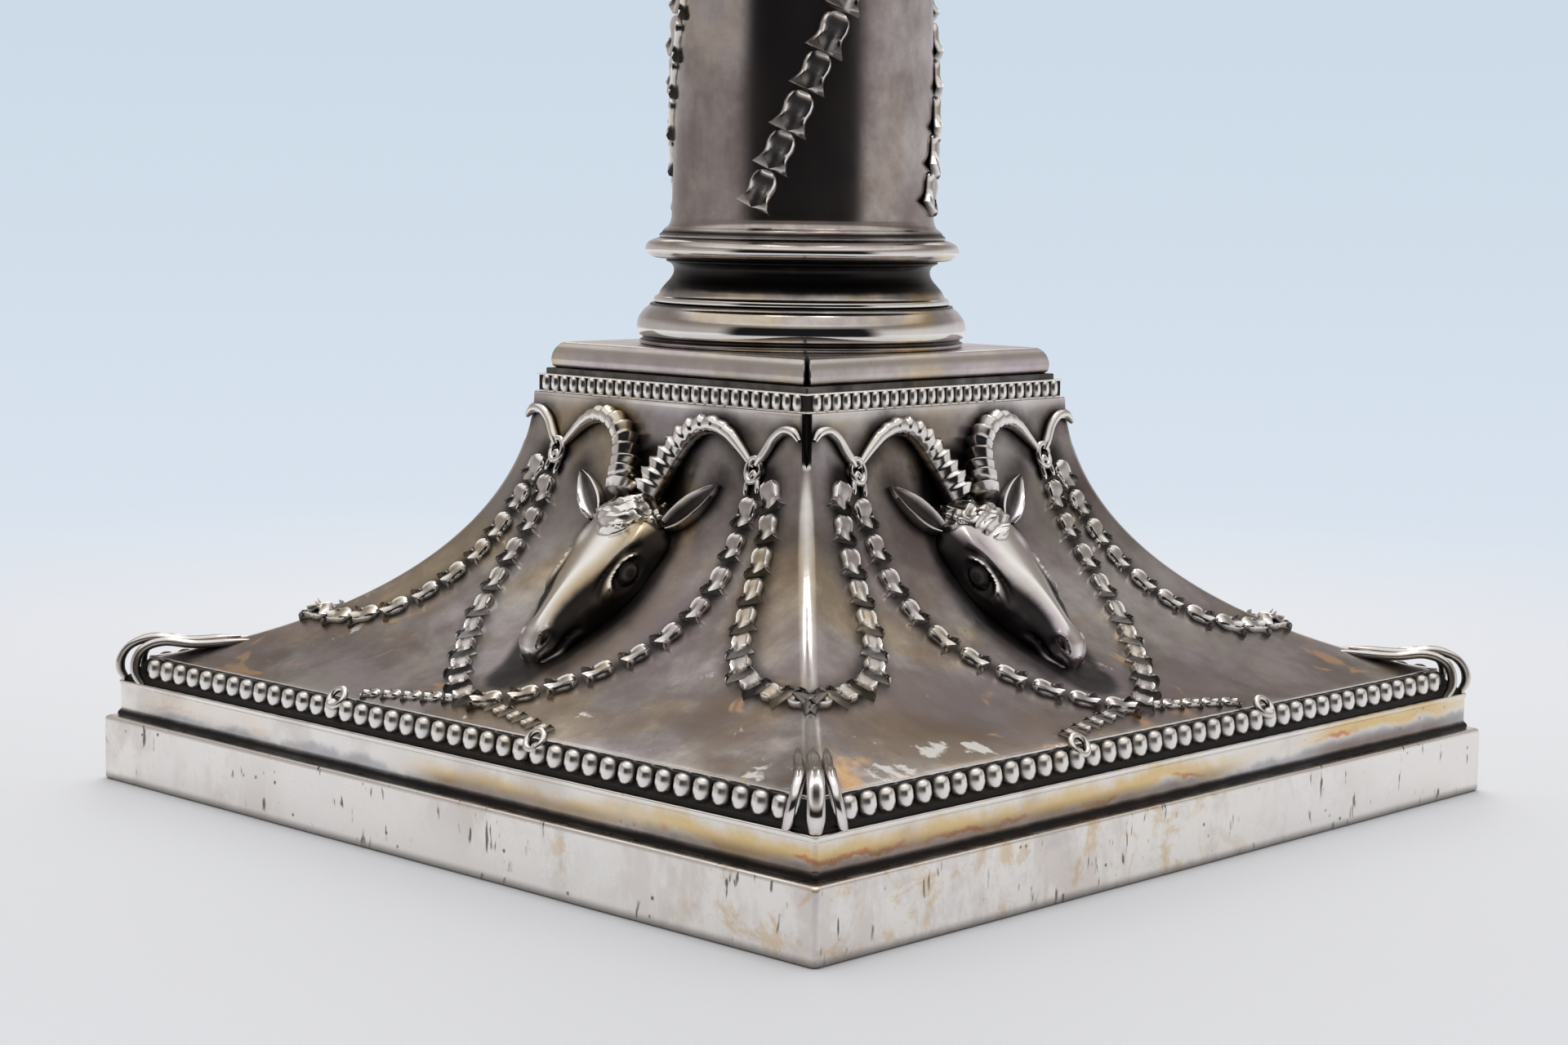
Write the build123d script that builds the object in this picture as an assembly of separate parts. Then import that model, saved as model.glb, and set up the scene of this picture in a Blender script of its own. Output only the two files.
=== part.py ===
# Loaded silver column candlestick: square swept foot, round column, Corinthian capital, lift-out nozzle.
# Millimetres, +Z up, origin at the middle of the underside. "front" is the -Y side.
from build123d import *
import math
import os

# ---- driving dimensions ------------------------------------------------------------------------
# square foot
foot_half = 64.0            # half of the foot's side
foot_height = 8.4
foot_wall = 1.2
foot_ledge = 0.8            # thickness of the shelf turned in at the top of the foot
foot_round = 0.5
step_half = 62.44
step_height = 4.7
step_wall = 1.0
border_height = 3.1         # bead border round the bottom of the swept sides
border_half = 59.3          # where the swept sides meet the border
border_bead_radius = 1.15
border_bead_pitch = 2.88
border_bead_line = 60.8     # half-width of the square that the bead centres stand on
border_corner_gap = 4.6     # from the corner of that square to the first bead
border_fillet = 0.4         # edge of the step left bare below the border, and the border's foot
clasp_inner = 52.5          # half-width of the square where the corner clasp's lobe begins
clasp_lobe = (8.6, 3.1)     # half-length and half-width of the lobe
clip_across = 18.0          # from the middle of a side to each clip
clip_wire = 0.42            # radius of the clip's wire
clip_lean = 62              # degrees that the ring leans back from upright

# swept sides
waist_half = 24.8
sweep_height = 35.2
sheet = 0.9                 # gauge of the stamped silver sheet
waist_hold = 4.2            # how far the sweep leaves the waist upright
toe_run = 32.9              # how far it leaves the toe, and how much it falls on the way
toe_fall = 8.95

# plinth above the sweep
plinth_half = 23.3
plinth_height = 3.1
plinth_bead_radius = 0.95
plinth_bead_pitch = 1.88
bead_strip = 0.5            # gauge of the flat strip behind the pan's and the plinth's beads
plinth_strip_gap = 0.05     # solder behind the plinth's strip
cap_half = 23.1
cap_height = 3.34
cap_round = 1.5

# column
torus_height = 5.26
spool_height = 5.7
ring_height = 2.7
shaft_length = 178.3
shaft_foot_radius = 16.85
shaft_taper = 0.02          # radius lost for each millimetre of height
shaft_wall = 0.8
shaft_flare = 2.5           # height of the flare at the bottom of the shaft
base_core_radius = 14.5     # bore of the turned rings, filled with pitch

# capital
neck_height = 3.0
neck_swell = 1.0            # how far the ring stands out past the bell's foot
bell_height = 32.0
bell_wall = 1.2             # round the socket, at the bell's foot
bell_flare = 3.6
abacus_height = 7.0
abacus_corner = 30.0        # centre to the chopped corner, along the diagonal
abacus_waist = 20.6         # centre to the middle of a hollowed side
abacus_chop = 3.4
leaf_count = 8
leaf_width = 8.6
leaf_thickness = 1.1
leaf_reach = 4.6
leaf_height = 14.0
leaf_sink = 0.6             # how far a leaf's root is let into the bell
leaf_rise = 0.9             # how far it has left the bell half way up
leaf_crown = 0.88           # share of its height where it starts to curl over
leaf_tip = (0.86, 0.74)     # shares of its height at the top and bottom of its tip
upper_leaf_rise = 10.0
upper_leaf_reach = 1.6      # how much further the upper leaves curl out
volute_radius = 3.5
volute_width = 2.8

# nozzle
candle_radius = 11.1        # 7/8 inch candle
candle_clearance = 0.15
nozzle_wall = 0.7
nozzle_depth = 25.6
nozzle_clearance = 0.35
nozzle_drop = 18.0          # how far the nozzle's tube stands in the column's socket
pan_half = 28.0
pan_rim = 2.6
pan_floor = 8.0             # height of the pan's floor at the candle, above the abacus
pan_lip = 0.9               # width of the flat edge round the dish
pan_height = 13.0
pan_foot_wall = 2.55
pan_bead_radius = 1.05
pan_bead_pitch = 2.4

# load, rod and underside
socket_wall = 0.7
rod_radius = 3.0
rod_clearance = 0.2
nut_flats = 10.0
nut_height = 2.6
washer_radius = 8.0
washer_height = 0.8
baize = 0.8
board_height = 6.8
board_clearance = 0.2
pocket_clearance = 1.0

# ---- heights and radii that follow -------------------------------------------------------------
step_top = foot_height + step_height
sweep_bottom = step_top + border_height
sweep_top = sweep_bottom + sweep_height
plinth_top = sweep_top + plinth_height
cap_top = plinth_top + cap_height
torus_top = cap_top + torus_height
spool_top = torus_top + spool_height
ring_top = spool_top + ring_height
shaft_top = ring_top + shaft_length
shaft_head_radius = shaft_foot_radius - shaft_taper * (shaft_length - shaft_flare)
neck_top = shaft_top + neck_height
bell_top = neck_top + bell_height
abacus_top = bell_top + abacus_height
bore_radius = candle_radius + candle_clearance
nozzle_radius = bore_radius + nozzle_wall
socket_radius = nozzle_radius + nozzle_clearance
socket_outer = socket_radius + socket_wall
bell_foot_radius = socket_outer + bell_wall
bell_lip_radius = bell_foot_radius + bell_flare
pan_foot_half = nozzle_radius + pan_foot_wall
nozzle_bottom = abacus_top - nozzle_drop
nut_gap = 1.2
socket_floor_top = nozzle_bottom - nut_gap - nut_height
socket_bottom = socket_floor_top - socket_wall
rod_bottom = baize + 0.4
washer_top = baize + nut_height + washer_height + 0.4
rod_top = nozzle_bottom - nut_gap / 2

SIDES = {"front": 0, "right": 90, "back": 180, "left": 270}


# ---- shape helpers -----------------------------------------------------------------------------
def turned(outline, inner):
    """A ring turned about Z: a smooth line through (radius, height) points, closed at an inner radius."""
    first, last = outline[0], outline[-1]
    skin = Spline(*[(r, 0, z) for r, z in outline])
    rest = Polyline((last[0], 0, last[1]), (inner, 0, last[1]), (inner, 0, first[1]), (first[0], 0, first[1]))
    return revolve(make_face(skin + rest), Axis.Z)


def lathed(points):
    """A solid turned about Z from a closed polygon of (radius, height) points."""
    return revolve(make_face(Polyline(*[(r, 0, z) for r, z in points], close=True)), Axis.Z)


def squared(edges, reach):
    """A solid whose level sections are squares: edges is the right half of its upright outline."""
    half = make_face(edges)
    bar = extrude(half + mirror(half, Plane.YZ), reach, both=True, dir=(0, 1, 0))
    return bar & (Rot(0, 0, 90) * bar)


def plate(half, low, high):
    """A square plate between two heights."""
    return Pos(0, 0, (low + high) / 2) * Box(2 * half, 2 * half, high - low)


def rod_like(radius, low, high):
    """An upright cylinder between two heights."""
    return Pos(0, 0, (low + high) / 2) * Cylinder(radius, high - low)


def hexagon(flats, low, high):
    """An upright hexagonal prism between two heights."""
    return extrude(Pos(0, 0, low) * RegularPolygon(flats / 2, 6, major_radius=False), high - low)


def save(shape, node):
    """Write one node."""
    export_step(shape, "parts/" + node + ".step")


# ---- the sweep: the outline that the four sides share --------------------------------------------
def sweep_controls(inset):
    """The four control points (half-width, height) of the sweep, moved in by the sheet's gauge."""
    slope = math.hypot(toe_run, toe_fall)
    return [
        (waist_half - inset, sweep_top),
        (waist_half - inset, sweep_top - waist_hold),
        (border_half - toe_run - inset * 0.8, sweep_bottom + toe_fall - inset * 0.8),
        (border_half, sweep_bottom - inset * slope / toe_run),
    ]


def sweep_point(t):
    """Half-width and height on the sweep, and its outward normal, at t from 0 (waist) to 1 (toe)."""
    p = sweep_controls(0)
    k = [(1 - t) ** 3, 3 * (1 - t) ** 2 * t, 3 * (1 - t) * t * t, t ** 3]
    g = [(1 - t) ** 2, 2 * (1 - t) * t, t * t]
    w, z = (sum(k[i] * p[i][j] for i in range(4)) for j in (0, 1))
    dw, dz = (sum(g[i] * (p[i + 1][j] - p[i][j]) for i in range(3)) for j in (0, 1))
    size = math.hypot(dw, dz)
    return w, z, -dz / size, dw / size


def on_side(across, z, proud):
    """A point on the front side at a height, standing proud of the sheet by a distance."""
    low, high = 0.0, 1.0
    for _ in range(40):
        middle = (low + high) / 2
        low, high = (middle, high) if sweep_point(middle)[1] > z else (low, middle)
    w, height, out, up = sweep_point(low)
    return Vector(across, -(w + out * proud), height + up * proud)


def sweep_edge(inset, backwards=False):
    """The sweep as a curve in the XZ plane."""
    points = [(w, 0, z) for w, z in sweep_controls(inset)]
    return Bezier(*(points[::-1] if backwards else points))


def sweep_solid(inset, bottom):
    """Everything inside the sweep, down to a flat bottom."""
    w0, z0 = sweep_controls(inset)[0]
    w3, z3 = sweep_controls(inset)[3]
    rest = Polyline((w3, 0, z3), (w3, 0, bottom), (0, 0, bottom), (0, 0, z0), (w0, 0, z0))
    return squared(sweep_edge(inset) + rest, foot_half + 1)


def mitre_wedge(reach, low, high):
    """The quarter of space in front of the two diagonals."""
    corner = Polyline((0, 0), (-reach, -reach), (reach, -reach), close=True)
    return extrude(Pos(0, 0, low) * make_face(corner), high - low)


def side_panel():
    """The front one of four stamped sheets, mitred at the corners."""
    outer, inner = sweep_controls(0), sweep_controls(sheet)
    top = Line((outer[0][0], 0, outer[0][1]), (inner[0][0], 0, inner[0][1]))
    toe = Line((inner[3][0], 0, inner[3][1]), (outer[3][0], 0, outer[3][1]))
    section = make_face(sweep_edge(0) + top + sweep_edge(sheet) + toe)
    bar = Rot(0, 0, -90) * extrude(section, foot_half, both=True, dir=(0, 1, 0))
    return bar & mitre_wedge(foot_half, step_top - 1, sweep_top + 1)


# ---- beaded wire ---------------------------------------------------------------------------------
def bead_places(line, corner_gap, pitch):
    """Evenly spaced places along one side, the same distance from both corners."""
    run = 2 * (line - corner_gap)
    count = max(2, round(run / pitch) + 1)
    return [-run / 2 + run * i / (count - 1) for i in range(count)]


def bead_wire(section, line, level, radius, corner_gap, pitch):
    """A front length of beaded wire: a mitred strip with beads, flush with the square that it is fixed to."""
    face = make_face(Polyline(*[(0, -w, z) for w, z in section], close=True))
    strip = extrude(face, foot_half, both=True, dir=(1, 0, 0))
    low = min(z for _, z in section)
    high = max(z for _, z in section)
    strip &= mitre_wedge(foot_half, low - 1, high + 1)
    beads = [Pos(x, -line, level) * Sphere(radius) for x in bead_places(line, corner_gap, pitch)]
    seat_half = min(w for w, _ in section)
    return (strip + beads) - plate(seat_half, low - 1, high + 1)


def border_wire():
    """The wire along the bottom of the swept sides: a hollowed slope that carries the beads."""
    hollow = border_bead_radius * 0.8
    section = [
        (border_half, step_top),
        (step_half - border_fillet, step_top),
        (step_half - border_fillet, step_top + border_fillet),
        (border_bead_line + hollow * 0.3, step_top + hollow),
        (border_bead_line - hollow, step_top + border_height - hollow * 0.6),
        (border_half + 0.35, sweep_bottom),
        (border_half, sweep_bottom),
    ]
    level = step_top + border_height / 2 + 0.25
    return bead_wire(section, border_bead_line, level, border_bead_radius,
                     border_corner_gap, border_bead_pitch)


def plinth_wire():
    """The fine beaded wire round the plinth."""
    strip_half = plinth_half + bead_strip + plinth_strip_gap
    top = sweep_top + 2 * plinth_bead_radius + bead_strip
    section = [(plinth_half, sweep_top), (strip_half, sweep_top), (strip_half, top), (plinth_half, top)]
    return bead_wire(section, strip_half - 0.1, (sweep_top + top) / 2, plinth_bead_radius,
                     1.5 * plinth_bead_radius, plinth_bead_pitch)


def pan_wire():
    """The beaded wire round the edge of the nozzle's pan."""
    strip_half = pan_half + bead_strip
    high = abacus_top + pan_height
    low = high - pan_rim
    section = [(pan_half, low), (strip_half, low), (strip_half, high), (pan_half, high)]
    return bead_wire(section, strip_half, (low + high) / 2, pan_bead_radius,
                     1.5 * pan_bead_radius, pan_bead_pitch)


# ---- foot ----------------------------------------------------------------------------------------
def foot_rim():
    """The upright square band that the candlestick stands on, with a shelf turned in at its top."""
    block = fillet(plate(foot_half, 0, foot_height).edges().group_by(Axis.Z)[-1], foot_round)
    hollow = plate(foot_half - foot_wall, -1, foot_height - foot_ledge)
    mouth = plate(step_half - step_wall, 0, foot_height + 1)
    return block - hollow - mouth


def step_band():
    """The narrower band above the foot, with its own shelf under the bead border."""
    block = plate(step_half, foot_height, step_top)
    hollow = plate(step_half - step_wall, foot_height - 1, step_top - step_wall)
    return block - hollow - plate(border_half, foot_height, step_top + 1)


def corner_clasp():
    """A leaf clasp bent over the front right corner of the bead border: three ribs on a saddle."""
    low = [(border_half, step_top), (step_half - 0.1, step_top), (step_half - 0.1, step_top + 1.4),
           (border_half + 0.6, sweep_bottom + 0.7)]
    top = on_side(0, sweep_bottom + 2.4, 0.9)
    outline = low + [(-top.Y, top.Z), (0, top.Z)]
    edges = Polyline((0, 0, step_top), *[(w, 0, z) for w, z in outline], close=True)
    saddle = squared(edges, foot_half)
    lobe = Rot(0, 0, -45) * (Pos(math.sqrt(2) * (clasp_inner + step_half) / 2, 0, 0)
                             * extrude(Ellipse(*clasp_lobe), 2 * sweep_top))
    clasp = (saddle & lobe & corner_place_box()) - sweep_solid(0, step_top)
    wire = border_wire()
    return clasp - wire - Rot(0, 0, 90) * wire


def corner_place_box():
    """The small square of the plan beyond the last beads at the front right corner."""
    near = border_bead_line - border_corner_gap + border_bead_radius + 0.1
    far = foot_half
    size = far - near
    outside = Pos((near + far) / 2, -(near + far) / 2, sweep_bottom) * Box(size, size, 4 * border_height)
    inside = plate(border_half, sweep_bottom, sweep_top)
    return outside + inside


def border_clip(across):
    """A small ring-shaped clip where a drop of husks meets the border of the front side."""
    radius = border_bead_radius * 1.25
    level = sweep_bottom + 0.55
    ring = Pos(across, -(border_half - 0.6), level) * Rot(clip_lean, 0, 0) * Torus(radius, clip_wire)
    return ring - sweep_solid(0, step_top) - border_wire()


# ---- goat's-horned head on each side ---------------------------------------------------------------
head_sections = [           # along the head: place, half-width, half-depth, lift of the centre
    (0.0, 4.6, 3.2, -0.2),
    (5.0, 6.6, 5.0, 0.0),
    (11.0, 6.7, 5.2, 0.1),
    (16.0, 4.6, 4.3, 0.4),
    (21.0, 3.3, 3.2, 0.7),
    (25.0, 2.9, 2.7, 0.6),
    (26.6, 1.5, 1.4, 0.4),
]
head_drop = 12.2            # from the waist down to the crown's centre
head_sink = 0.9             # how far that centre lies inside the sheet's face
head_dip = 41.0             # degrees that the muzzle points down
horn_line = [               # across, drop from the waist, radius
    (2.9, 11.8, 1.9),
    (4.0, 8.4, 1.75),
    (5.5, 4.6, 1.6),
    (8.4, 2.6, 1.35),
    (12.0, 3.3, 1.1),
    (14.9, 5.4, 0.85),
    (17.0, 7.3, 0.6),
]
ear_root = (6.4, 14.8)      # across, drop from the waist
ear_tip = (12.2, 9.2)
ear_half_width = 2.1
ear_thickness = 1.2


def ram_head():
    """The front head: skull and muzzle lofted, two horns and two ears, cut to sit on the sheet."""
    along = Vector(0, -math.cos(math.radians(head_dip)), -math.sin(math.radians(head_dip)))
    lift = Vector(0, -math.sin(math.radians(head_dip)), math.cos(math.radians(head_dip)))
    start = on_side(0, sweep_top - head_drop, -head_sink)
    rings = []
    for place, half_width, half_depth, rise in head_sections:
        middle = start + along * place + lift * rise
        rings.append(Plane(middle, x_dir=(1, 0, 0), z_dir=along) * Ellipse(half_width, half_depth))
    head = loft(rings)
    for side in (-1, 1):
        head += horn(side)
        head += ear(side)
    return head - sweep_solid(0, step_top)


def horn(side):
    """A tapering horn that rises, arches outwards and comes down to its tip."""
    points = [on_side(side * a, sweep_top - drop, 0.55 * r) for a, drop, r in horn_line]
    path = Spline(*points)
    rings = []
    for point, (_, _, radius) in zip(points, horn_line):
        u = path.param_at_point(point)
        rings.append(Plane(path @ u, z_dir=path % u) * Circle(radius))
    return loft(rings)


def ear(side):
    """A flat pointed ear that stands out from the head over the sheet."""
    root = on_side(side * ear_root[0], sweep_top - ear_root[1], ear_thickness)
    tip = on_side(side * ear_tip[0], sweep_top - ear_tip[1], ear_thickness)
    along = tip - root
    blade = Plane((root + tip) / 2, x_dir=along, z_dir=Vector(0, -1, 0.35))
    outline = Ellipse(along.length / 2 + ear_thickness, ear_half_width)
    return extrude(blade * outline, ear_thickness / 2, both=True)


# ---- column ----------------------------------------------------------------------------------------
def lower_torus():
    """The big half-round at the bottom of the column, with a fillet under it."""
    z = cap_top
    outline = [(20.7, z), (20.9, z + 0.5), (21.15, z + 1.3), (21.15, z + 3.0), (20.56, z + 4.3),
               (19.6, z + torus_height)]
    return turned(outline, base_core_radius)


def scotia_spool():
    """The hollow moulding between the two half-rounds."""
    z = torus_top
    outline = [(18.95, z), (18.6, z + 1.0), (17.6, z + 2.3), (16.6, z + 3.6), (16.5, z + 4.4),
               (17.2, z + spool_height)]
    return turned(outline, base_core_radius)


def upper_ring():
    """The smaller half-round under the shaft."""
    z = spool_top
    outline = [(18.6, z), (19.7, z + 0.4), (20.14, z + 1.2), (19.9, z + 2.0), (18.9, z + ring_height)]
    return turned(outline, base_core_radius)


def column_shaft():
    """The seamed tapered tube, flared at its foot."""
    start = ring_top + shaft_flare
    flare = Spline((shaft_foot_radius + 1.5, 0, ring_top), (shaft_foot_radius + 0.8, 0, ring_top + 1.0),
                   (shaft_foot_radius, 0, start))
    rest = Polyline(
        (shaft_foot_radius, 0, start),
        (shaft_head_radius, 0, shaft_top),
        (shaft_head_radius - shaft_wall, 0, shaft_top),
        (shaft_foot_radius - shaft_wall, 0, start),
        (shaft_foot_radius - shaft_wall, 0, ring_top),
        (shaft_foot_radius + 1.5, 0, ring_top),
    )
    return revolve(make_face(flare + rest), Axis.Z)


# ---- capital ---------------------------------------------------------------------------------------
def neck_ring():
    """The half-round ring that ends the shaft."""
    z = shaft_top
    swell = bell_foot_radius + neck_swell
    outline = [(shaft_head_radius + 0.3, z), (swell - 0.4, z + 0.6), (swell, z + 1.5),
               (swell - 0.4, z + 2.4), (bell_foot_radius + 0.2, z + neck_height)]
    return turned(outline, shaft_head_radius - shaft_wall)


def capital_bell():
    """The flaring core of the capital, bored for the socket."""
    z = neck_top
    outline = [(bell_foot_radius, z), (bell_foot_radius + 0.3, z + bell_height * 0.35),
               (bell_foot_radius + 1.2, z + bell_height * 0.7), (bell_lip_radius, z + bell_height)]
    return turned(outline, socket_outer)


def leaf(low, reach):
    """One acanthus leaf of the capital, on the -Y side, its tip curling outwards."""
    root, middle = bell_foot_radius - leaf_sink, bell_foot_radius - leaf_sink + leaf_rise
    h, t = leaf_height, leaf_thickness
    crown, (tip_top, tip_low) = low + leaf_crown * h, [low + share * h for share in leaf_tip]
    inner = Spline((root, 0, low), (middle, 0, low + 0.55 * h), (root + 0.5 * reach, 0, crown),
                   (root + reach, 0, tip_top))
    outer = Spline((root + t, 0, low), (middle + t, 0, low + 0.5 * h),
                   (root + 0.5 * reach + 0.3, 0, crown - t), (root + reach - 0.2, 0, tip_low))
    ends = Line((root, 0, low), (root + t, 0, low))
    tip = Line((root + reach, 0, tip_top), (root + reach - 0.2, 0, tip_low))
    section = make_face(inner + outer + ends + tip)
    bent = Rot(0, 0, -90) * extrude(section, leaf_width, both=True, dir=(0, 1, 0))
    blade = Plane.XZ * (Pos(0, low + 0.45 * h) * Ellipse(leaf_width / 2, 0.62 * h))
    return bent & extrude(blade, bell_lip_radius + reach + 5)


def ring_of(shape, count, turn=0.0):
    """Copies of a shape spaced evenly about Z, as separate solids."""
    return Compound([Rot(0, 0, turn + 360 * i / count) * shape for i in range(count)])


def corner_volute():
    """A scroll under one corner of the abacus, on the stalk that rises to it from behind a leaf."""
    centre = (abacus_corner - volute_radius - 1.2, bell_top - volute_radius)
    scroll = Pos(centre[0], 0, centre[1]) * Rot(90, 0, 0) * Cylinder(volute_radius, volute_width)
    eye = Pos(centre[0], 0, centre[1]) * Rot(90, 0, 0) * Cylinder(volute_radius * 0.3, volute_width + 1.0)
    stalk = Spline((bell_foot_radius + 1.0, 0, bell_top - 13), (bell_lip_radius - 0.6, 0, bell_top - 6),
                   (centre[0], 0, bell_top))
    back = Polyline((centre[0], 0, bell_top), (centre[0], 0, bell_top - 2.4),
                    (bell_lip_radius + 0.8, 0, bell_top - 7.5), (bell_foot_radius + 1.0, 0, bell_top - 13))
    arm = extrude(make_face(stalk + back), volute_width / 2, both=True, dir=(0, 1, 0))
    return scroll + eye + arm


def abacus():
    """The plate that crowns the capital: hollowed sides and chopped corners, in two steps."""
    def outline(grow):
        points = []
        for k in range(4):
            a = math.radians(45 + 90 * k)
            across = Vector(-math.sin(a), math.cos(a), 0)
            corner = Vector(math.cos(a), math.sin(a), 0) * (abacus_corner + grow)
            points += [corner - across * abacus_chop / 2, corner + across * abacus_chop / 2]
        edges = []
        for k in range(4):
            a = math.radians(90 + 90 * k)
            middle = Vector(math.cos(a), math.sin(a), 0) * (abacus_waist + grow)
            start, end = points[2 * k + 1], points[(2 * k + 2) % 8]
            edges += [Line(points[2 * k], start), ThreePointArc(start, middle, end)]
        return make_face(edges)
    lower = extrude(Pos(0, 0, bell_top) * outline(-1.4), abacus_height * 0.55)
    upper = extrude(Pos(0, 0, bell_top + abacus_height * 0.55) * outline(0), abacus_height * 0.45)
    return lower + upper - rod_like(socket_outer, bell_top - 1, abacus_top + 1)


def abacus_flower():
    """The small flower in the middle of the abacus's front side."""
    place = Pos(0, -(abacus_waist - 0.2), bell_top + abacus_height * 0.45) * Rot(90, 0, 0)
    petals = [place * (Rot(0, 0, 60 * i) * Pos(1.7, 0, 0) * Cylinder(1.15, 2.6)) for i in range(6)]
    return place * Cylinder(1.3, 3.4) + petals


def candle_socket():
    """The cup in the capital that takes the nozzle's tube, held down by the rod's top nut."""
    cup = rod_like(socket_outer, socket_bottom, abacus_top)
    cup -= rod_like(socket_radius, socket_floor_top, abacus_top + 1)
    return cup - rod_like(rod_radius + rod_clearance, socket_bottom - 1, socket_floor_top + 1)


# ---- nozzle ----------------------------------------------------------------------------------------
def nozzle_tube():
    """The candle's tube: open above, closed below, dropped into the socket."""
    mouth = nozzle_bottom + nozzle_wall + nozzle_depth
    tube = rod_like(nozzle_radius, nozzle_bottom, mouth)
    return tube - rod_like(bore_radius, nozzle_bottom + nozzle_wall, mouth + 1)


def nozzle_pan():
    """The square drip pan that rests on the abacus: coved below, dished above."""
    z = abacus_top
    rim_low = z + pan_height - pan_rim
    rim_high = z + pan_height
    cove = Spline((pan_foot_half, 0, z + 1.6), (pan_foot_half + 1.8, 0, z + 5.2),
                  (pan_half - 4.0, 0, rim_low - 2.0), (pan_half, 0, rim_low))
    rest = Polyline((pan_half, 0, rim_low), (pan_half, 0, rim_high), (0, 0, rim_high), (0, 0, z),
                    (pan_foot_half, 0, z), (pan_foot_half, 0, z + 1.6))
    lip_half = pan_half - pan_lip
    dish = Polyline((0, 0, z + pan_floor), (nozzle_radius + 0.6, 0, z + pan_floor),
                    (lip_half - 0.7, 0, rim_high - 1.5), (lip_half, 0, rim_high + 0.01),
                    (0, 0, rim_high + 0.01), close=True)
    solid = squared(cove + rest, pan_half + 1) - squared(dish, pan_half + 1)
    return solid - rod_like(nozzle_radius, z - 1, z + pan_height + 1)


# ---- load, rod and underside -------------------------------------------------------------------------
def base_filling():
    """The pitch run into the hollow of the foot, round the rod."""
    shelf = plate(step_half - step_wall, foot_height - foot_ledge, step_top - step_wall)
    neck = plate(border_half, step_top - step_wall, sweep_bottom - 1.6 * sheet)
    hill = sweep_solid(sheet, sweep_bottom - 1.6 * sheet)
    return shelf + neck + hill - rod_like(rod_radius, 0, plinth_top)


def column_filling():
    """The pitch run into the column, round the rod."""
    start = ring_top + shaft_flare
    head = shaft_head_radius - shaft_wall
    return lathed([
        (rod_radius, cap_top), (base_core_radius, cap_top), (base_core_radius, ring_top),
        (shaft_foot_radius - shaft_wall, ring_top), (shaft_foot_radius - shaft_wall, start),
        (head, shaft_top), (head, neck_top), (socket_outer, neck_top), (socket_outer, socket_bottom),
        (rod_radius, socket_bottom),
    ])


def base_board():
    """The wooden board that closes the foot, with a pocket for the washer and nut."""
    board = plate(foot_half - foot_wall - board_clearance, baize, baize + board_height)
    board -= rod_like(washer_radius + pocket_clearance, baize - 1, washer_top)
    return board - rod_like(rod_radius + rod_clearance, 0, baize + board_height + 1)


def drilled(block):
    """A plate with the rod's hole."""
    return block - rod_like(rod_radius + rod_clearance, -1, abacus_top)


def main():
    os.makedirs("parts", exist_ok=True)
    save(foot_rim(), "foot_rim")
    save(step_band(), "step_band")
    front_pieces = {
        "side_panel": side_panel(),
        "border_bead_wire": border_wire(),
        "plinth_bead_wire": plinth_wire(),
        "ram_head": ram_head(),
    }
    for name, shape in front_pieces.items():
        for side, turn in SIDES.items():
            save(Rot(0, 0, turn) * shape, name + "_" + side)
    save(ring_of(corner_clasp(), 4), "corner_clasps")
    clips = [Rot(0, 0, turn) * border_clip(a) for turn in SIDES.values() for a in (-clip_across, clip_across)]
    save(Compound(clips), "border_clips")

    save(drilled(plate(plinth_half, sweep_top, plinth_top)), "plinth")
    cap = plate(cap_half, plinth_top, cap_top)
    cap = fillet(cap.edges().group_by(Axis.Z)[0] + cap.edges().group_by(Axis.Z)[-1], cap_round)
    save(drilled(cap), "cap_plate")

    save(lower_torus(), "column_lower_torus")
    save(scotia_spool(), "column_scotia")
    save(upper_ring(), "column_upper_ring")
    save(column_shaft(), "column_shaft")

    save(neck_ring(), "neck_ring")
    bell = capital_bell()
    save(bell, "capital_bell")
    low_leaf_row = ring_of(leaf(neck_top, leaf_reach) - bell, leaf_count, 180 / leaf_count)
    save(low_leaf_row, "lower_leaves")
    high_leaf = leaf(neck_top + upper_leaf_rise, leaf_reach + upper_leaf_reach) - bell - low_leaf_row
    high_leaf_row = ring_of(high_leaf, leaf_count)
    save(high_leaf_row, "upper_leaves")
    volute = corner_volute() - bell - high_leaf_row
    save(ring_of(volute, 4, 45), "corner_volutes")
    plate_top = abacus()
    save(plate_top, "abacus")
    save(ring_of(abacus_flower() - plate_top, 4), "abacus_flowers")
    save(candle_socket(), "candle_socket")

    save(nozzle_tube(), "nozzle_tube")
    save(nozzle_pan(), "nozzle_pan")
    save(ring_of(pan_wire(), 4), "nozzle_bead_wires")

    save(rod_like(rod_radius, rod_bottom, rod_top), "core_rod")
    low_nut = hexagon(nut_flats, washer_top - washer_height - nut_height, washer_top - washer_height)
    save(low_nut - rod_like(rod_radius, 0, washer_top), "base_nut")
    washer = rod_like(washer_radius, washer_top - washer_height, washer_top)
    save(washer - rod_like(rod_radius + rod_clearance, 0, abacus_top), "base_washer")
    high_nut = hexagon(nut_flats, socket_floor_top, socket_floor_top + nut_height)
    save(high_nut - rod_like(rod_radius, 0, abacus_top), "socket_nut")
    save(base_filling(), "base_filling")
    save(column_filling(), "column_filling")
    save(base_board(), "base_board")
    save(plate(foot_half - foot_wall - board_clearance, 0, baize), "baize_pad")


main()
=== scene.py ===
"""A loaded silver column candlestick, finished piece by piece round its packed frame.

Every new piece is a surface worked out with numpy from a few sizes and from the frame's own boxes.
"front" is the -Y side; the four sides are the same piece turned about Z.
"""
import math

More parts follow.
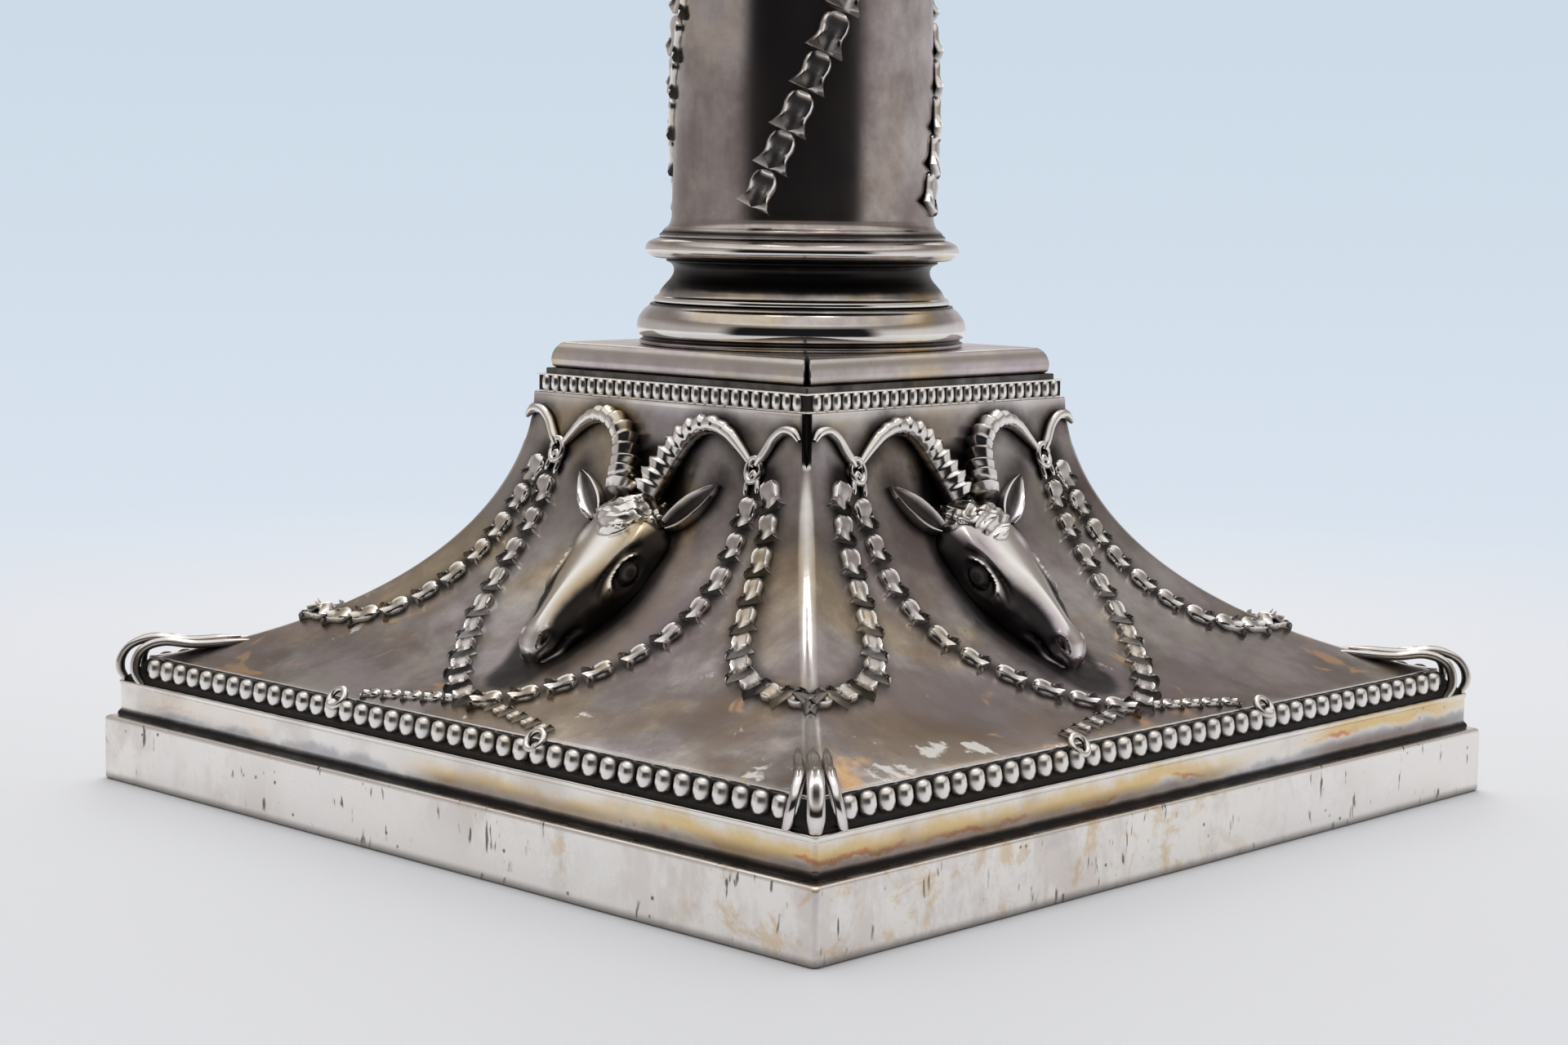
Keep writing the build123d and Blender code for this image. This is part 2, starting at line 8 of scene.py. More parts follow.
import bpy
import numpy as np
from mathutils import Matrix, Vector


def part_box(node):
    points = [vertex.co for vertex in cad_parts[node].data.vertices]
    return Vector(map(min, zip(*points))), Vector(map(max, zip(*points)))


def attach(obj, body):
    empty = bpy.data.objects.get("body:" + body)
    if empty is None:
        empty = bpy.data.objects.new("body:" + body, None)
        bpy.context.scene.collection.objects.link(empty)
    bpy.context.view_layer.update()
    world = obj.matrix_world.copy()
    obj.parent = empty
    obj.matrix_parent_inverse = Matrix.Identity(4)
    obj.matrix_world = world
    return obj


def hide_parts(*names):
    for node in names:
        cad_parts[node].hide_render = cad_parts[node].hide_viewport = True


bl_info = {
    "name": "Silver column candlestick",
    "version": (1, 0, 0),
    "blender": (4, 5, 0),
    "location": "3D View > Sidebar > Candlestick",
    "description": "Builds the finished surfaces of a silver column candlestick round its frame",
    "category": "Add Mesh",
}

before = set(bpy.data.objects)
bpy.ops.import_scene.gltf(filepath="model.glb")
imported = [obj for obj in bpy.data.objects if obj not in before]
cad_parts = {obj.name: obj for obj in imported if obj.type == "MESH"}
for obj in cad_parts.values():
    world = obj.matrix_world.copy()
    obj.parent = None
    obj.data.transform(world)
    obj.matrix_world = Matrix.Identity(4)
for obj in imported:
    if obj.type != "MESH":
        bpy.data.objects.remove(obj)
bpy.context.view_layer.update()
MM = 0.001
SIDES = {"front": 0, "right": 90, "back": 180, "left": 270}
LOW = {node: np.array(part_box(node)[0]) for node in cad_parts}
HIGH = {node: np.array(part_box(node)[1]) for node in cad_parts}

FOOT_HALF, FOOT_TOP = HIGH["foot_rim"][0], HIGH["foot_rim"][2]
STEP_HALF, STEP_TOP = HIGH["step_band"][0], HIGH["step_band"][2]
SWEEP_BOTTOM, SWEEP_TOP = HIGH["border_bead_wire_front"][2], HIGH["side_panel_front"][2]
TOE_HALF = HIGH["side_panel_front"][0]
CAP_TOP = HIGH["cap_plate"][2]
SHAFT_LOW, SHAFT_TOP = LOW["column_shaft"][2], HIGH["column_shaft"][2]
NECK_TOP, BELL_TOP = HIGH["neck_ring"][2], HIGH["capital_bell"][2]
ABACUS_TOP, RIM_TOP = HIGH["abacus"][2], HIGH["nozzle_pan"][2]


# ---- settings ----------------------------------------------------------------------------------
def length(name, description, default):
    """A size in metres that a user may change."""
    return bpy.props.FloatProperty(name=name, description=description, default=default,
                                   unit="LENGTH", subtype="DISTANCE", precision=5)


def number(name, description, default):
    """A plain number that a user may change."""
    return bpy.props.FloatProperty(name=name, description=description, default=default)


def colour(name, description, default):
    """A linear colour that a user may change."""
    return bpy.props.FloatVectorProperty(name=name, description=description, default=default,
                                         size=3, subtype="COLOR", min=0, max=1)


class SweepSettings(bpy.types.PropertyGroup):
    """The swept sides of the foot."""
    waist_half: length("Waist", "Half-width of the foot at the waist", 24.8 * MM)
    waist_hold: length("Waist hold", "How far the sweep leaves the waist upright", 4.2 * MM)
    waist_lean: length("Waist lean", "How far the sweep's third control stands out", 1.6 * MM)
    toe_fall: length("Toe fall", "How much the sweep falls on its way to the toe", 8.95 * MM)
    sheet: length("Sheet", "Gauge of the stamped silver", 0.9 * MM)


class HuskSettings(bpy.types.PropertyGroup):
    """The bell-shaped husks of the garlands."""
    base_length: length("Foot husk", "Length of a husk on the foot", 3.75 * MM)
    base_pitch: length("Foot pitch", "From husk to husk on the foot", 4.5 * MM)
    column_length: length("Column husk", "Length of a husk on the column", 5.2 * MM)
    column_pitch: length("Column pitch", "From husk to husk on the column", 5.25 * MM)
    twist: number("Twist", "Degrees that a garland turns in a millimetre", 1.52)
    start_turn: number("Start", "Degrees about Z of one garland at its foot", -67.0)


class BeadSettings(bpy.types.PropertyGroup):
    """The beaded wires."""
    border_radius: length("Border bead", "Radius of a bead of the foot's border", 1.15 * MM)
    border_pitch: length("Border pitch", "From bead to bead on the border", 2.88 * MM)
    border_line: length("Border line", "Half-width of the square that the border beads stand on", 60.8 * MM)
    border_gap: length("Border gap", "From the corner of that square to the first bead", 4.6 * MM)
    plinth_radius: length("Plinth bead", "Radius of a bead of the plinth", 0.95 * MM)
    plinth_pitch: length("Plinth pitch", "From bead to bead on the plinth", 0.9 * 1.88 * MM)
    pan_radius: length("Pan bead", "Radius of a bead of the nozzle's rim", 1.05 * MM)
    pan_pitch: length("Pan pitch", "From bead to bead on the rim", 2.4 * MM)


class FinishSettings(bpy.types.PropertyGroup):
    """Colours of the metal and its tarnish."""
    silver: colour("Silver", "Clean rubbed silver", (0.94, 0.91, 0.87))
    patina: colour("Patina", "Even brownish tarnish", (0.32, 0.262, 0.245))
    # The next colour is black tarnish in the hollows and is also used as painted shade under things, on
    # shaded sides and between parts.
    black_tarnish_and_shade: colour("Oxide", "Black tarnish left in the hollows", (0.014, 0.012, 0.012))
    straw: colour("Straw", "Thin yellow tarnish", (0.80, 0.58, 0.26))
    rust: colour("Amber", "The reddish edge of a tarnish stain", (0.62, 0.20, 0.07))
    blue: colour("Blue", "Thick blue-grey tarnish", (0.36, 0.38, 0.46))


class StageSettings(bpy.types.PropertyGroup):
    """Floor, light and camera."""
    distance: length("Distance", "From the camera to the point it looks at", 369.8 * MM)
    aim_height: length("Aim height", "Height of that point", 34.64 * MM)
    aim_shift: length("Aim shift", "How far it lies to the left of the column's axis", 1.87 * MM)
    azimuth: number("Azimuth", "Degrees round from the front", 43.872)
    pitch: number("Pitch", "Degrees that the camera looks down", 6.559)
    roll: number("Roll", "Degrees that the camera leans", 0.764)
    lens: number("Lens", "Focal length in millimetres on a 36 mm frame", 65.207)
    floor: colour("Floor", "The pale floor that it stands on", (0.82, 0.84, 0.88))
    horizon: colour("Horizon", "The backdrop low down", (0.72, 0.79, 0.88))
    sky: colour("Sky", "The backdrop higher up", (0.60, 0.70, 0.80))


SETTINGS = {
    "candlestick_sweep": SweepSettings,
    "candlestick_husks": HuskSettings,
    "candlestick_beads": BeadSettings,
    "candlestick_finish": FinishSettings,
    "candlestick_stage": StageSettings,
}


def settings(name):
    """One of the scene's groups of settings."""
    return getattr(bpy.context.scene, "candlestick_" + name)


# ---- surfaces as arrays ------------------------------------------------------------------------
class Shape:
    """Points, quads, flat end faces and two masks: one that is 1 where the surface is darkened, by black
    tarnish in a hollow and by painted shade under things, on shaded sides and between parts, and one that is
    1 where it is made bright, by rubbing on an edge and by a painted highlight where light falls.

    ends is a list of arrays, each with one end face of the same number of points to a row.
    """

    def __init__(self, points, quads, ends=(), tarnish_and_shade=0.0, polish_and_highlight=0.0):
        self.points = np.asarray(points, float).reshape(-1, 3)
        self.quads = np.asarray(quads, int).reshape(-1, 4)
        self.ends = [np.atleast_2d(end) for end in ends]
        count = len(self.points)
        self.tarnish_and_shade = np.array(np.broadcast_to(tarnish_and_shade, count), float)
        self.polish_and_highlight = np.array(np.broadcast_to(polish_and_highlight, count), float)

    def outward(self):
        """The same closed shape with its faces turned outwards: its signed volume is made positive."""
        p = self.points
        tris = [self.quads[:, [0, 1, 2]], self.quads[:, [0, 2, 3]]]
        tris += [end[:, [0, k, k + 1]] for end in self.ends for k in range(1, end.shape[1] - 1)]
        a, b, c = (p[np.concatenate(tris)[:, i]] for i in range(3))
        return self.flipped() if np.einsum("ij,ij->i", a, np.cross(b, c)).sum() < 0 else self

    def flipped(self):
        """A copy with every face turned round."""
        ends = [end[:, ::-1] for end in self.ends]
        return Shape(self.points, self.quads[:, ::-1], ends, self.tarnish_and_shade, self.polish_and_highlight)

    def mapped(self, matrix):
        """A copy under a 3 by 3 matrix."""
        copy = self.flipped() if np.linalg.det(matrix) < 0 else self
        points = self.points @ np.asarray(matrix, float).T
        return Shape(points, copy.quads, copy.ends, self.tarnish_and_shade, self.polish_and_highlight)


def turned(shape, degrees):
    """A copy turned about Z."""
    c, s = math.cos(math.radians(degrees)), math.sin(math.radians(degrees))
    return shape.mapped([[c, -s, 0], [s, c, 0], [0, 0, 1]])


def mirrored(shape):
    """A copy mirrored from one half of a side to the other."""
    return shape.mapped(np.diag([-1, 1, 1]))


def joined(shapes):
    """Several shapes as one."""
    starts = np.concatenate([[0], np.cumsum([len(s.points) for s in shapes])[:-1]])
    return Shape(
        np.concatenate([s.points for s in shapes]),
        np.concatenate([s.quads + o for s, o in zip(shapes, starts)]),
        [end + o for s, o in zip(shapes, starts) for end in s.ends],
        np.concatenate([s.tarnish_and_shade for s in shapes]),
        np.concatenate([s.polish_and_highlight for s in shapes]),
    )


def grid_quads(rows, cols, wrap_rows, wrap_cols):
    """Quads of a grid of points, closed round in either direction."""
    r = np.arange(rows if wrap_rows else rows - 1)[:, None]
    c = np.arange(cols if wrap_cols else cols - 1)[None, :]
    r1, c1 = (r + 1) % rows, (c + 1) % cols
    return np.stack([r * cols + c, r * cols + c1, r1 * cols + c1, r1 * cols + c], -1).reshape(-1, 4)


def ring_skin(rings, tarnish_and_shade=0.0, polish_and_highlight=0.0):
    """A closed skin over a stack of rings (rows, points round, 3), with a flat face at each end."""
    rings = np.asarray(rings, float)
    rows, cols = rings.shape[:2]
    first = np.arange(cols)
    ends = [first[::-1], (rows - 1) * cols + first]
    masks = [np.broadcast_to(mask, (rows, cols)).reshape(-1) for mask in (tarnish_and_shade, polish_and_highlight)]
    return Shape(rings, grid_quads(rows, cols, False, True), ends, *masks).outward()


def loop_skin(points, tarnish_and_shade=0.0, polish_and_highlight=0.0):
    """A closed skin on a grid that wraps both ways, like a ring with a hollow middle."""
    points = np.asarray(points, float)
    rows, cols = points.shape[:2]
    masks = [np.broadcast_to(mask, (rows, cols)).reshape(-1) for mask in (tarnish_and_shade, polish_and_highlight)]
    return Shape(points, grid_quads(rows, cols, True, True), (), *masks).outward()


def smooth_line(points, count):
    """A smooth line through a few points: a centripetal-like cubic, evenly spaced along its length."""
    p = np.asarray(points, float)
    knots = run_along(p)
    slopes = np.gradient(p, knots, axis=0)
    fine = np.linspace(0, knots[-1], 40 * len(p))
    k = np.clip(np.searchsorted(knots, fine, "right") - 1, 0, len(p) - 2)
    h = (knots[k + 1] - knots[k])[:, None]
    t = (fine - knots[k])[:, None] / h
    line = ((2 * t ** 3 - 3 * t ** 2 + 1) * p[k] + (t ** 3 - 2 * t ** 2 + t) * h * slopes[k]
            + (3 * t ** 2 - 2 * t ** 3) * p[k + 1] + (t ** 3 - t ** 2) * h * slopes[k + 1])
    run = run_along(line)
    even = np.linspace(0, run[-1], count)
    return np.stack([np.interp(even, run, line[:, i]) for i in range(p.shape[1])], -1)


def rounded(outline, radius, steps=4, closed=True):
    """An outline with its corners rounded, and a point just before and after each rounding.

    Each corner becomes the quadratic curve between the points where the rounding starts and ends.
    """
    p = np.asarray(outline, float)
    before, after = np.roll(p, 1, 0) - p, np.roll(p, -1, 0) - p
    runs = [np.linalg.norm(v, axis=1, keepdims=True) for v in (before, after)]
    cut = np.minimum(radius, 0.4 * np.minimum(*runs))
    a, b = p + before / runs[0] * cut, p + after / runs[1] * cut
    t = np.linspace(0, 1, steps)[None, :, None]
    curve = (1 - t) ** 2 * a[:, None] + 2 * t * (1 - t) * p[:, None] + t ** 2 * b[:, None]
    hold_a = p + before / runs[0] * np.minimum(cut * 1.25, 0.45 * runs[0])
    hold_b = p + after / runs[1] * np.minimum(cut * 1.25, 0.45 * runs[1])
    full = np.concatenate([hold_a[:, None], curve, hold_b[:, None]], 1)
    if not closed:
        full[0], full[-1] = p[0], p[-1]
    return full.reshape(-1, 2)


def clamped(value):
    """A value kept between nought and one."""
    return np.clip(value, 0, 1)


def normalised(vectors):
    """Vectors made one long."""
    return vectors / np.linalg.norm(vectors, axis=-1, keepdims=True)


def run_along(line):
    """Distance from a line's start to each of its points."""
    return np.concatenate([[0], np.cumsum(np.linalg.norm(np.diff(line, axis=0), axis=1))])


def square_to(line):
    """Unit vectors square to a flat line, to the right of the way it runs."""
    slope = np.gradient(line, axis=0)
    return normalised(np.stack([slope[:, 1], -slope[:, 0]], -1))


def hill(distance, reach):
    """A bell curve of height one: it has fallen to 0.37 at its reach."""
    return np.exp(-(distance / reach) ** 2)


def circle(count):
    """Angles evenly spaced round a circle."""
    return np.linspace(0, 2 * math.pi, count, endpoint=False)


def lathe(outline, around=160):
    """A ring turned about Z from a closed outline of (radius, height) points."""
    outline = np.asarray(outline, float)
    turn = circle(around)
    r, z = outline[:, 0, None], outline[:, 1, None]
    return np.stack([r * np.cos(turn), r * np.sin(turn), z + 0 * turn], -1)


def square_path(edge_steps=60, corner_steps=5):
    """Round a square: for each point its place on the unit square and the direction to round it in.

    Along an edge the place runs from corner to corner; at a corner it waits while the direction turns.
    """
    t = np.linspace(-1, 1, edge_steps + 1)
    hold = 1 - 0.006
    t = np.unique(np.concatenate([t[(abs(t) < hold)], [-1, -hold, hold, 1]]))
    places, ways = [], []
    for k in range(4):
        a = math.radians(90 * k)
        out, along = np.array([math.cos(a), math.sin(a)]), np.array([-math.sin(a), math.cos(a)])
        places.append(out + t[:, None] * along)
        ways.append(np.repeat(out[None], len(t), 0))
        turn = np.linspace(0, math.pi / 2, corner_steps + 2)[1:-1, None]
        places.append(np.repeat((out + along)[None], corner_steps, 0))
        ways.append(np.cos(turn) * out + np.sin(turn) * along)
    return np.concatenate(places), np.concatenate(ways)


def square_ring(outline, corner_radius, edge_steps=60):
    """A closed outline of (half-width, height) carried round a square whose corners have a small radius."""
    places, ways = square_path(edge_steps)
    w, z = np.asarray(outline, float).T
    flat = (w[:, None, None] - corner_radius) * places + corner_radius * ways
    return np.concatenate([flat, np.broadcast_to(z[:, None, None], flat.shape[:2] + (1,))], -1)


def mitred(outline, steps):
    """A closed outline of (half-width, height) carried along the front side from mitre to mitre."""
    w, z = np.asarray(outline, float).T
    t = np.linspace(-1, 1, steps)[:, None]
    return np.stack([t * w, 0 * t - w, 0 * t + z], -1)


def tube(path, across, radii, around=12, flat=1.0):
    """A tube along a path: rings in the plane across it, flattened along the surface's normal.

    across gives the normal at each point; a ring is radius times (sideways cosine, normal sine).
    """
    path = np.asarray(path, float)
    along = normalised(np.gradient(path, axis=0))
    normal = normalised(across - (across * along).sum(1, keepdims=True) * along)
    side = np.cross(along, normal)
    turn = circle(around)
    radii = np.broadcast_to(np.asarray(radii, float).reshape(len(path), -1), (len(path), around))
    return (path[:, None] + (radii * np.cos(turn))[..., None] * side[:, None]
            + flat * (radii * np.sin(turn))[..., None] * normal[:, None])


def scattered(shape, origins, axes, scales):
    """Copies of one small shape: each has an origin, and three axes for the shape's x, y and z."""
    n, m = len(origins), len(shape.points)
    points = origins[:, None] + np.einsum("mj,njk->nmk", shape.points, axes) * scales[:, None, None]
    step = (np.arange(n) * m)[:, None, None]
    ends = [(end[None] + step).reshape(-1, end.shape[1]) for end in shape.ends]
    return Shape(points, (shape.quads[None] + step).reshape(-1, 4), ends,
                 np.tile(shape.tarnish_and_shade, n), np.tile(shape.polish_and_highlight, n))


def uneven(points, size, depth):
    """Points moved a little in and out, as hand-worked sheet is: the sum of three slow waves in space."""
    p = np.asarray(points) / size
    wave = (np.sin(p[..., 0] * 2.1 + p[..., 2] * 1.3 + 0.4) + np.sin(p[..., 1] * 1.7 - p[..., 2] * 2.3 + 1.9)
            + np.sin(p[..., 0] * 1.1 - p[..., 1] * 1.4 + p[..., 2] * 0.7))
    out = np.asarray(points) * [1, 1, 0]
    out = out / np.maximum(np.linalg.norm(out, axis=-1, keepdims=True), 1e-9)
    return points + out * (depth / 3 * wave)[..., None]


CREASE = math.radians(48)


def add_piece(name, shape, look, *nodes, body="stand"):
    """One smooth mesh with sharp creases, in the finish named by look, that stands for the nodes."""
    mesh = bpy.data.meshes.new(name)
    groups = [shape.quads, *shape.ends]
    corners = np.concatenate([group.reshape(-1) for group in groups])
    sizes = np.concatenate([np.full(len(group), group.shape[1]) for group in groups])
    mesh.vertices.add(len(shape.points))
    mesh.vertices.foreach_set("co", shape.points.astype(np.float32).reshape(-1))
    mesh.loops.add(len(corners))
    mesh.loops.foreach_set("vertex_index", corners.astype(np.int32))
    mesh.polygons.add(len(sizes))
    starts = np.concatenate([[0], np.cumsum(sizes)[:-1]])
    mesh.polygons.foreach_set("loop_start", starts.astype(np.int32))
    mesh.polygons.foreach_set("use_smooth", np.ones(len(sizes), bool))
    for mask in ("tarnish_and_shade", "polish_and_highlight"):
        attribute = mesh.attributes.new(mask, "FLOAT", "POINT")
        attribute.data.foreach_set("value", getattr(shape, mask).astype(np.float32))
    mesh.update(calc_edges=True)
    if mesh.validate():
        raise ValueError(name + " has faces that don't close")
    mesh.set_sharp_from_angle(angle=CREASE)
    slot, material = finish(look)
    mesh.materials.append(material)
    piece = bpy.data.objects.new(name, mesh)
    bpy.context.scene.collection.objects.link(piece)
    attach(piece, body)
    if nodes:
        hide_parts(*nodes)


def add_sides(name, shape, look, node):
    """A piece for each side from the one made for the front; name and node have a %s for the side."""
    for side, degrees in SIDES.items():
        add_piece(name % side, turned(shape, degrees), look, node % side)


def round_axis(shape, count=4, start=0.0):
    """Copies of a shape evenly spaced about Z, as one."""
    return joined([turned(shape, start + 360 / count * k) for k in range(count)])


# ---- the sweep ---------------------------------------------------------------------------------
def sweep_controls(inset=0.0):
    """The four control points (half-width, height) of the sweep, moved in by the sheet's gauge."""
    s = settings("sweep")
    return np.array([
        (s.waist_half - inset, SWEEP_TOP),
        (s.waist_half - inset, SWEEP_TOP - s.waist_hold),
        (s.waist_half + s.waist_lean - 0.8 * inset, SWEEP_BOTTOM + s.toe_fall - 0.8 * inset),
        (TOE_HALF, SWEEP_BOTTOM - 1.04 * inset),
    ])


def bezier(controls, t):
    """Cubic curve through its end controls: the weighted sum of four points."""
    t = np.asarray(t, float)[..., None]
    weights = [(1 - t) ** 3, 3 * (1 - t) ** 2 * t, 3 * (1 - t) * t ** 2, t ** 3]
    return sum(k * p for k, p in zip(weights, controls))


def on_side(across, run, proud=0.0):
    """Points on the front side, and the sheet's normal there.

    run is the distance down the sheet from the waist; proud is how far a point stands out of it.
    """
    line = bezier(sweep_controls(), np.linspace(0, 1, 1500))
    lengths = run_along(line)
    tangent = np.gradient(line, lengths, axis=0)
    across, run, proud = np.broadcast_arrays(np.asarray(across, float), run, proud)
    w, z, dw, dz = (np.interp(run, lengths, column) for column in (*line.T, *tangent.T))
    size = np.hypot(dw, dz)
    normal = np.stack([0 * w, dz / size, dw / size], -1)
    return np.stack([across, -w, z], -1) + proud[..., None] * normal, normal


def sweep_length():
    """Length of the sweep from the waist to the toe."""
    line = bezier(sweep_controls(), np.linspace(0, 1, 400))
    return np.linalg.norm(np.diff(line, axis=0), axis=1).sum()


# places of the raised work on the right half of a side: (across, distance down from the waist)
KNOT = np.array([17.6, 7.2]) * MM
FESTOON = np.array([(18.2, 9.8), (18.1, 15.0), (18.4, 20.1), (18.2, 24.6), (17.2, 29.2), (15.3, 33.6),
                    (12.9, 37.4), (9.9, 41.2), (6.4, 44.8), (3.0, 47.2), (0.0, 48.0)]) * MM
CORNER_LOOP = np.array([(19.9, 7.6), (20.4, 8.6), (21.8, 12.5), (22.9, 16.65), (24.1, 21.0), (25.8, 25.5),
                        (28.3, 30.0), (31.5, 33.8), (36.4, 36.3), (41.2, 36.9), (45.2, 36.6)]) * MM
DROP = np.array([(1.4, 48.2), (6.0, 49.2), (11.5, 50.3), (17.0, 51.6)]) * MM
RIBBON_ARCH = np.array([(17.9, 6.6), (19.0, 4.9), (20.2, 3.1), (21.7, 2.1), (23.2, 2.2), (24.3, 3.2)]) * MM
HORN = np.array([(2.7, 12.2), (3.3, 9.4), (4.1, 6.9), (5.5, 4.4), (7.6, 2.7), (10.0, 2.2), (12.6, 3.0),
                 (15.0, 4.8), (17.2, 6.8)]) * MM
EAR = np.array([(6.3, 15.6), (9.2, 12.6), (12.3, 9.4)]) * MM


# ---- materials ---------------------------------------------------------------------------------
def group_of(name, inputs, outputs, build):
    """A shader node group, built once: inputs and outputs are (name, kind, default)."""
    found = bpy.data.node_groups.get(name)
    if found:
        return found
    tree = bpy.data.node_groups.new(name, "ShaderNodeTree")
    kinds = {"value": "NodeSocketFloat", "colour": "NodeSocketColor", "vector": "NodeSocketVector"}
    for socket, kind, default in inputs:
        item = tree.interface.new_socket(name=socket, in_out="INPUT", socket_type=kinds[kind])
        if default is not None:
            item.default_value = default
    for socket, kind in outputs:
        tree.interface.new_socket(name=socket, in_out="OUTPUT", socket_type=kinds[kind])
    build(Nodes(tree), tree.nodes.new("NodeGroupInput"), tree.nodes.new("NodeGroupOutput"))
    return tree


class Nodes:
    """Short ways to add nodes to a tree; a value may be a number, a colour or another node's output."""

    def __init__(self, tree):
        self.tree = tree

    def new(self, kind, inputs=None, **facts):
        node = self.tree.nodes.new("ShaderNode" + kind)
        for key, value in facts.items():
            setattr(node, key, value)
        for key, value in (inputs or {}).items():
            self.put(node.inputs[key], value)
        return node

    def put(self, socket, value):
        if isinstance(value, bpy.types.NodeSocket):
            self.tree.links.new(value, socket)
        else:
            socket.default_value = value

    def math(self, operation, a, b, clamp=False):
        return self.new("Math", {0: a, 1: b}, operation=operation, use_clamp=clamp).outputs[0]

    def times(self, a, b, clamp=False):
        return self.math("MULTIPLY", a, b, clamp)

    def plus(self, a, b):
        return self.math("ADD", a, b)

    def minus(self, a, b):
        return self.math("SUBTRACT", a, b)

    def mix(self, share, a, b):
        node = self.new("Mix", data_type="RGBA", clamp_factor=True)
        for socket, value in ((node.inputs["Factor"], share), (node.inputs[6], a), (node.inputs[7], b)):
            self.put(socket, value)
        return node.outputs[2]

    def noise(self, vector, scale, detail=4.0, roughness=0.55, distortion=0.0):
        return self.new("TexNoise", {"Vector": vector, "Scale": scale, "Detail": detail,
                                     "Roughness": roughness, "Distortion": distortion}).outputs["Fac"]

    def ramp(self, value, low, high):
        node = self.new("MapRange", {"Value": value, "From Min": low, "From Max": high},
                        interpolation_type="SMOOTHSTEP")
        return node.outputs["Result"]

    def part(self, vector, axis):
        return self.new("SeparateXYZ", {"Vector": vector}).outputs[axis]

    def dot(self, a, b):
        return self.new("VectorMath", {0: a, 1: tuple(b)}, operation="DOT_PRODUCT").outputs["Value"]

    def stretched(self, vector, scale):
        return self.new("Mapping", {"Vector": vector, "Scale": scale}).outputs["Vector"]

    def group(self, tree, inputs):
        node = self.tree.nodes.new("ShaderNodeGroup")
        node.node_tree = tree
        for key, value in inputs.items():
            self.put(node.inputs[key], value)
        return node


def tarnish_group():
    """Cloudy tarnish: how thick it is, and the faint pink to straw to blue of a thin film."""
    def build(n, inside, outside):
        place, amount = inside.outputs["Vector"], inside.outputs["Amount"]
        broad = n.noise(place, 28.0, 5.0, 0.6, 0.4)
        fine = n.noise(place, 170.0, 6.0, 0.65)
        cloud = n.plus(n.times(broad, 0.65), n.times(fine, 0.35))
        thick = n.times(n.ramp(cloud, 0.36, 0.62), amount, clamp=True)
        n.put(outside.inputs["Thickness"], thick)
        hue = n.noise(place, 46.0, 3.0, 0.5, 1.2)
        film = n.mix(n.ramp(hue, 0.5, 0.66), (0.5, 0.5, 0.5, 1), (0.66, 0.56, 0.36, 1))
        film = n.mix(n.ramp(hue, 0.5, 0.36), film, (0.50, 0.47, 0.54, 1))
        n.put(outside.inputs["Film"], film)
    return group_of("Tarnish", [("Vector", "vector", None), ("Amount", "value", 1.0)],
                    [("Thickness", "value"), ("Film", "colour")], build)


def wear_group():
    """Fine handling marks: scratches that run two ways, and small pits, as a height and a mask."""
    def build(n, inside, outside):
        place = inside.outputs["Vector"]
        lean = n.new("Mapping", {"Vector": place, "Rotation": (0.3, 0.5, 0.7), "Scale": (60, 1400, 300)})
        cross = n.new("Mapping", {"Vector": place, "Rotation": (-0.6, 0.2, -0.9), "Scale": (900, 70, 420)})
        one = n.ramp(n.noise(lean.outputs["Vector"], 1.0, 2.0), 0.62, 0.70)
        two = n.ramp(n.noise(cross.outputs["Vector"], 1.0, 2.0), 0.64, 0.72)
        lines = n.math("MAXIMUM", one, two)
        cells = n.new("TexVoronoi", {"Vector": place, "Scale": inside.outputs["Pit Scale"]})
        spots = cells.outputs["Distance"]
        few = n.ramp(n.noise(place, 130.0, 3.0), 0.52, 0.60)
        pits = n.times(n.ramp(spots, 0.16, 0.06), few)
        pits = n.times(pits, inside.outputs["Pits"])
        marks = n.times(lines, inside.outputs["Scratches"])
        n.put(outside.inputs["Pit Mask"], pits)
        n.put(outside.inputs["Scratch Mask"], marks)
        height = n.plus(n.times(pits, -1.0), n.times(marks, -0.35))
        grain = n.times(n.noise(place, 900.0, 3.0), 0.12)
        n.put(outside.inputs["Height"], n.plus(height, grain))
    return group_of("Handling wear", [("Vector", "vector", None), ("Scratches", "value", 0.5),
                                      ("Pits", "value", 0.5), ("Pit Scale", "value", 500.0)],
                    [("Height", "value"), ("Pit Mask", "value"), ("Scratch Mask", "value")], build)


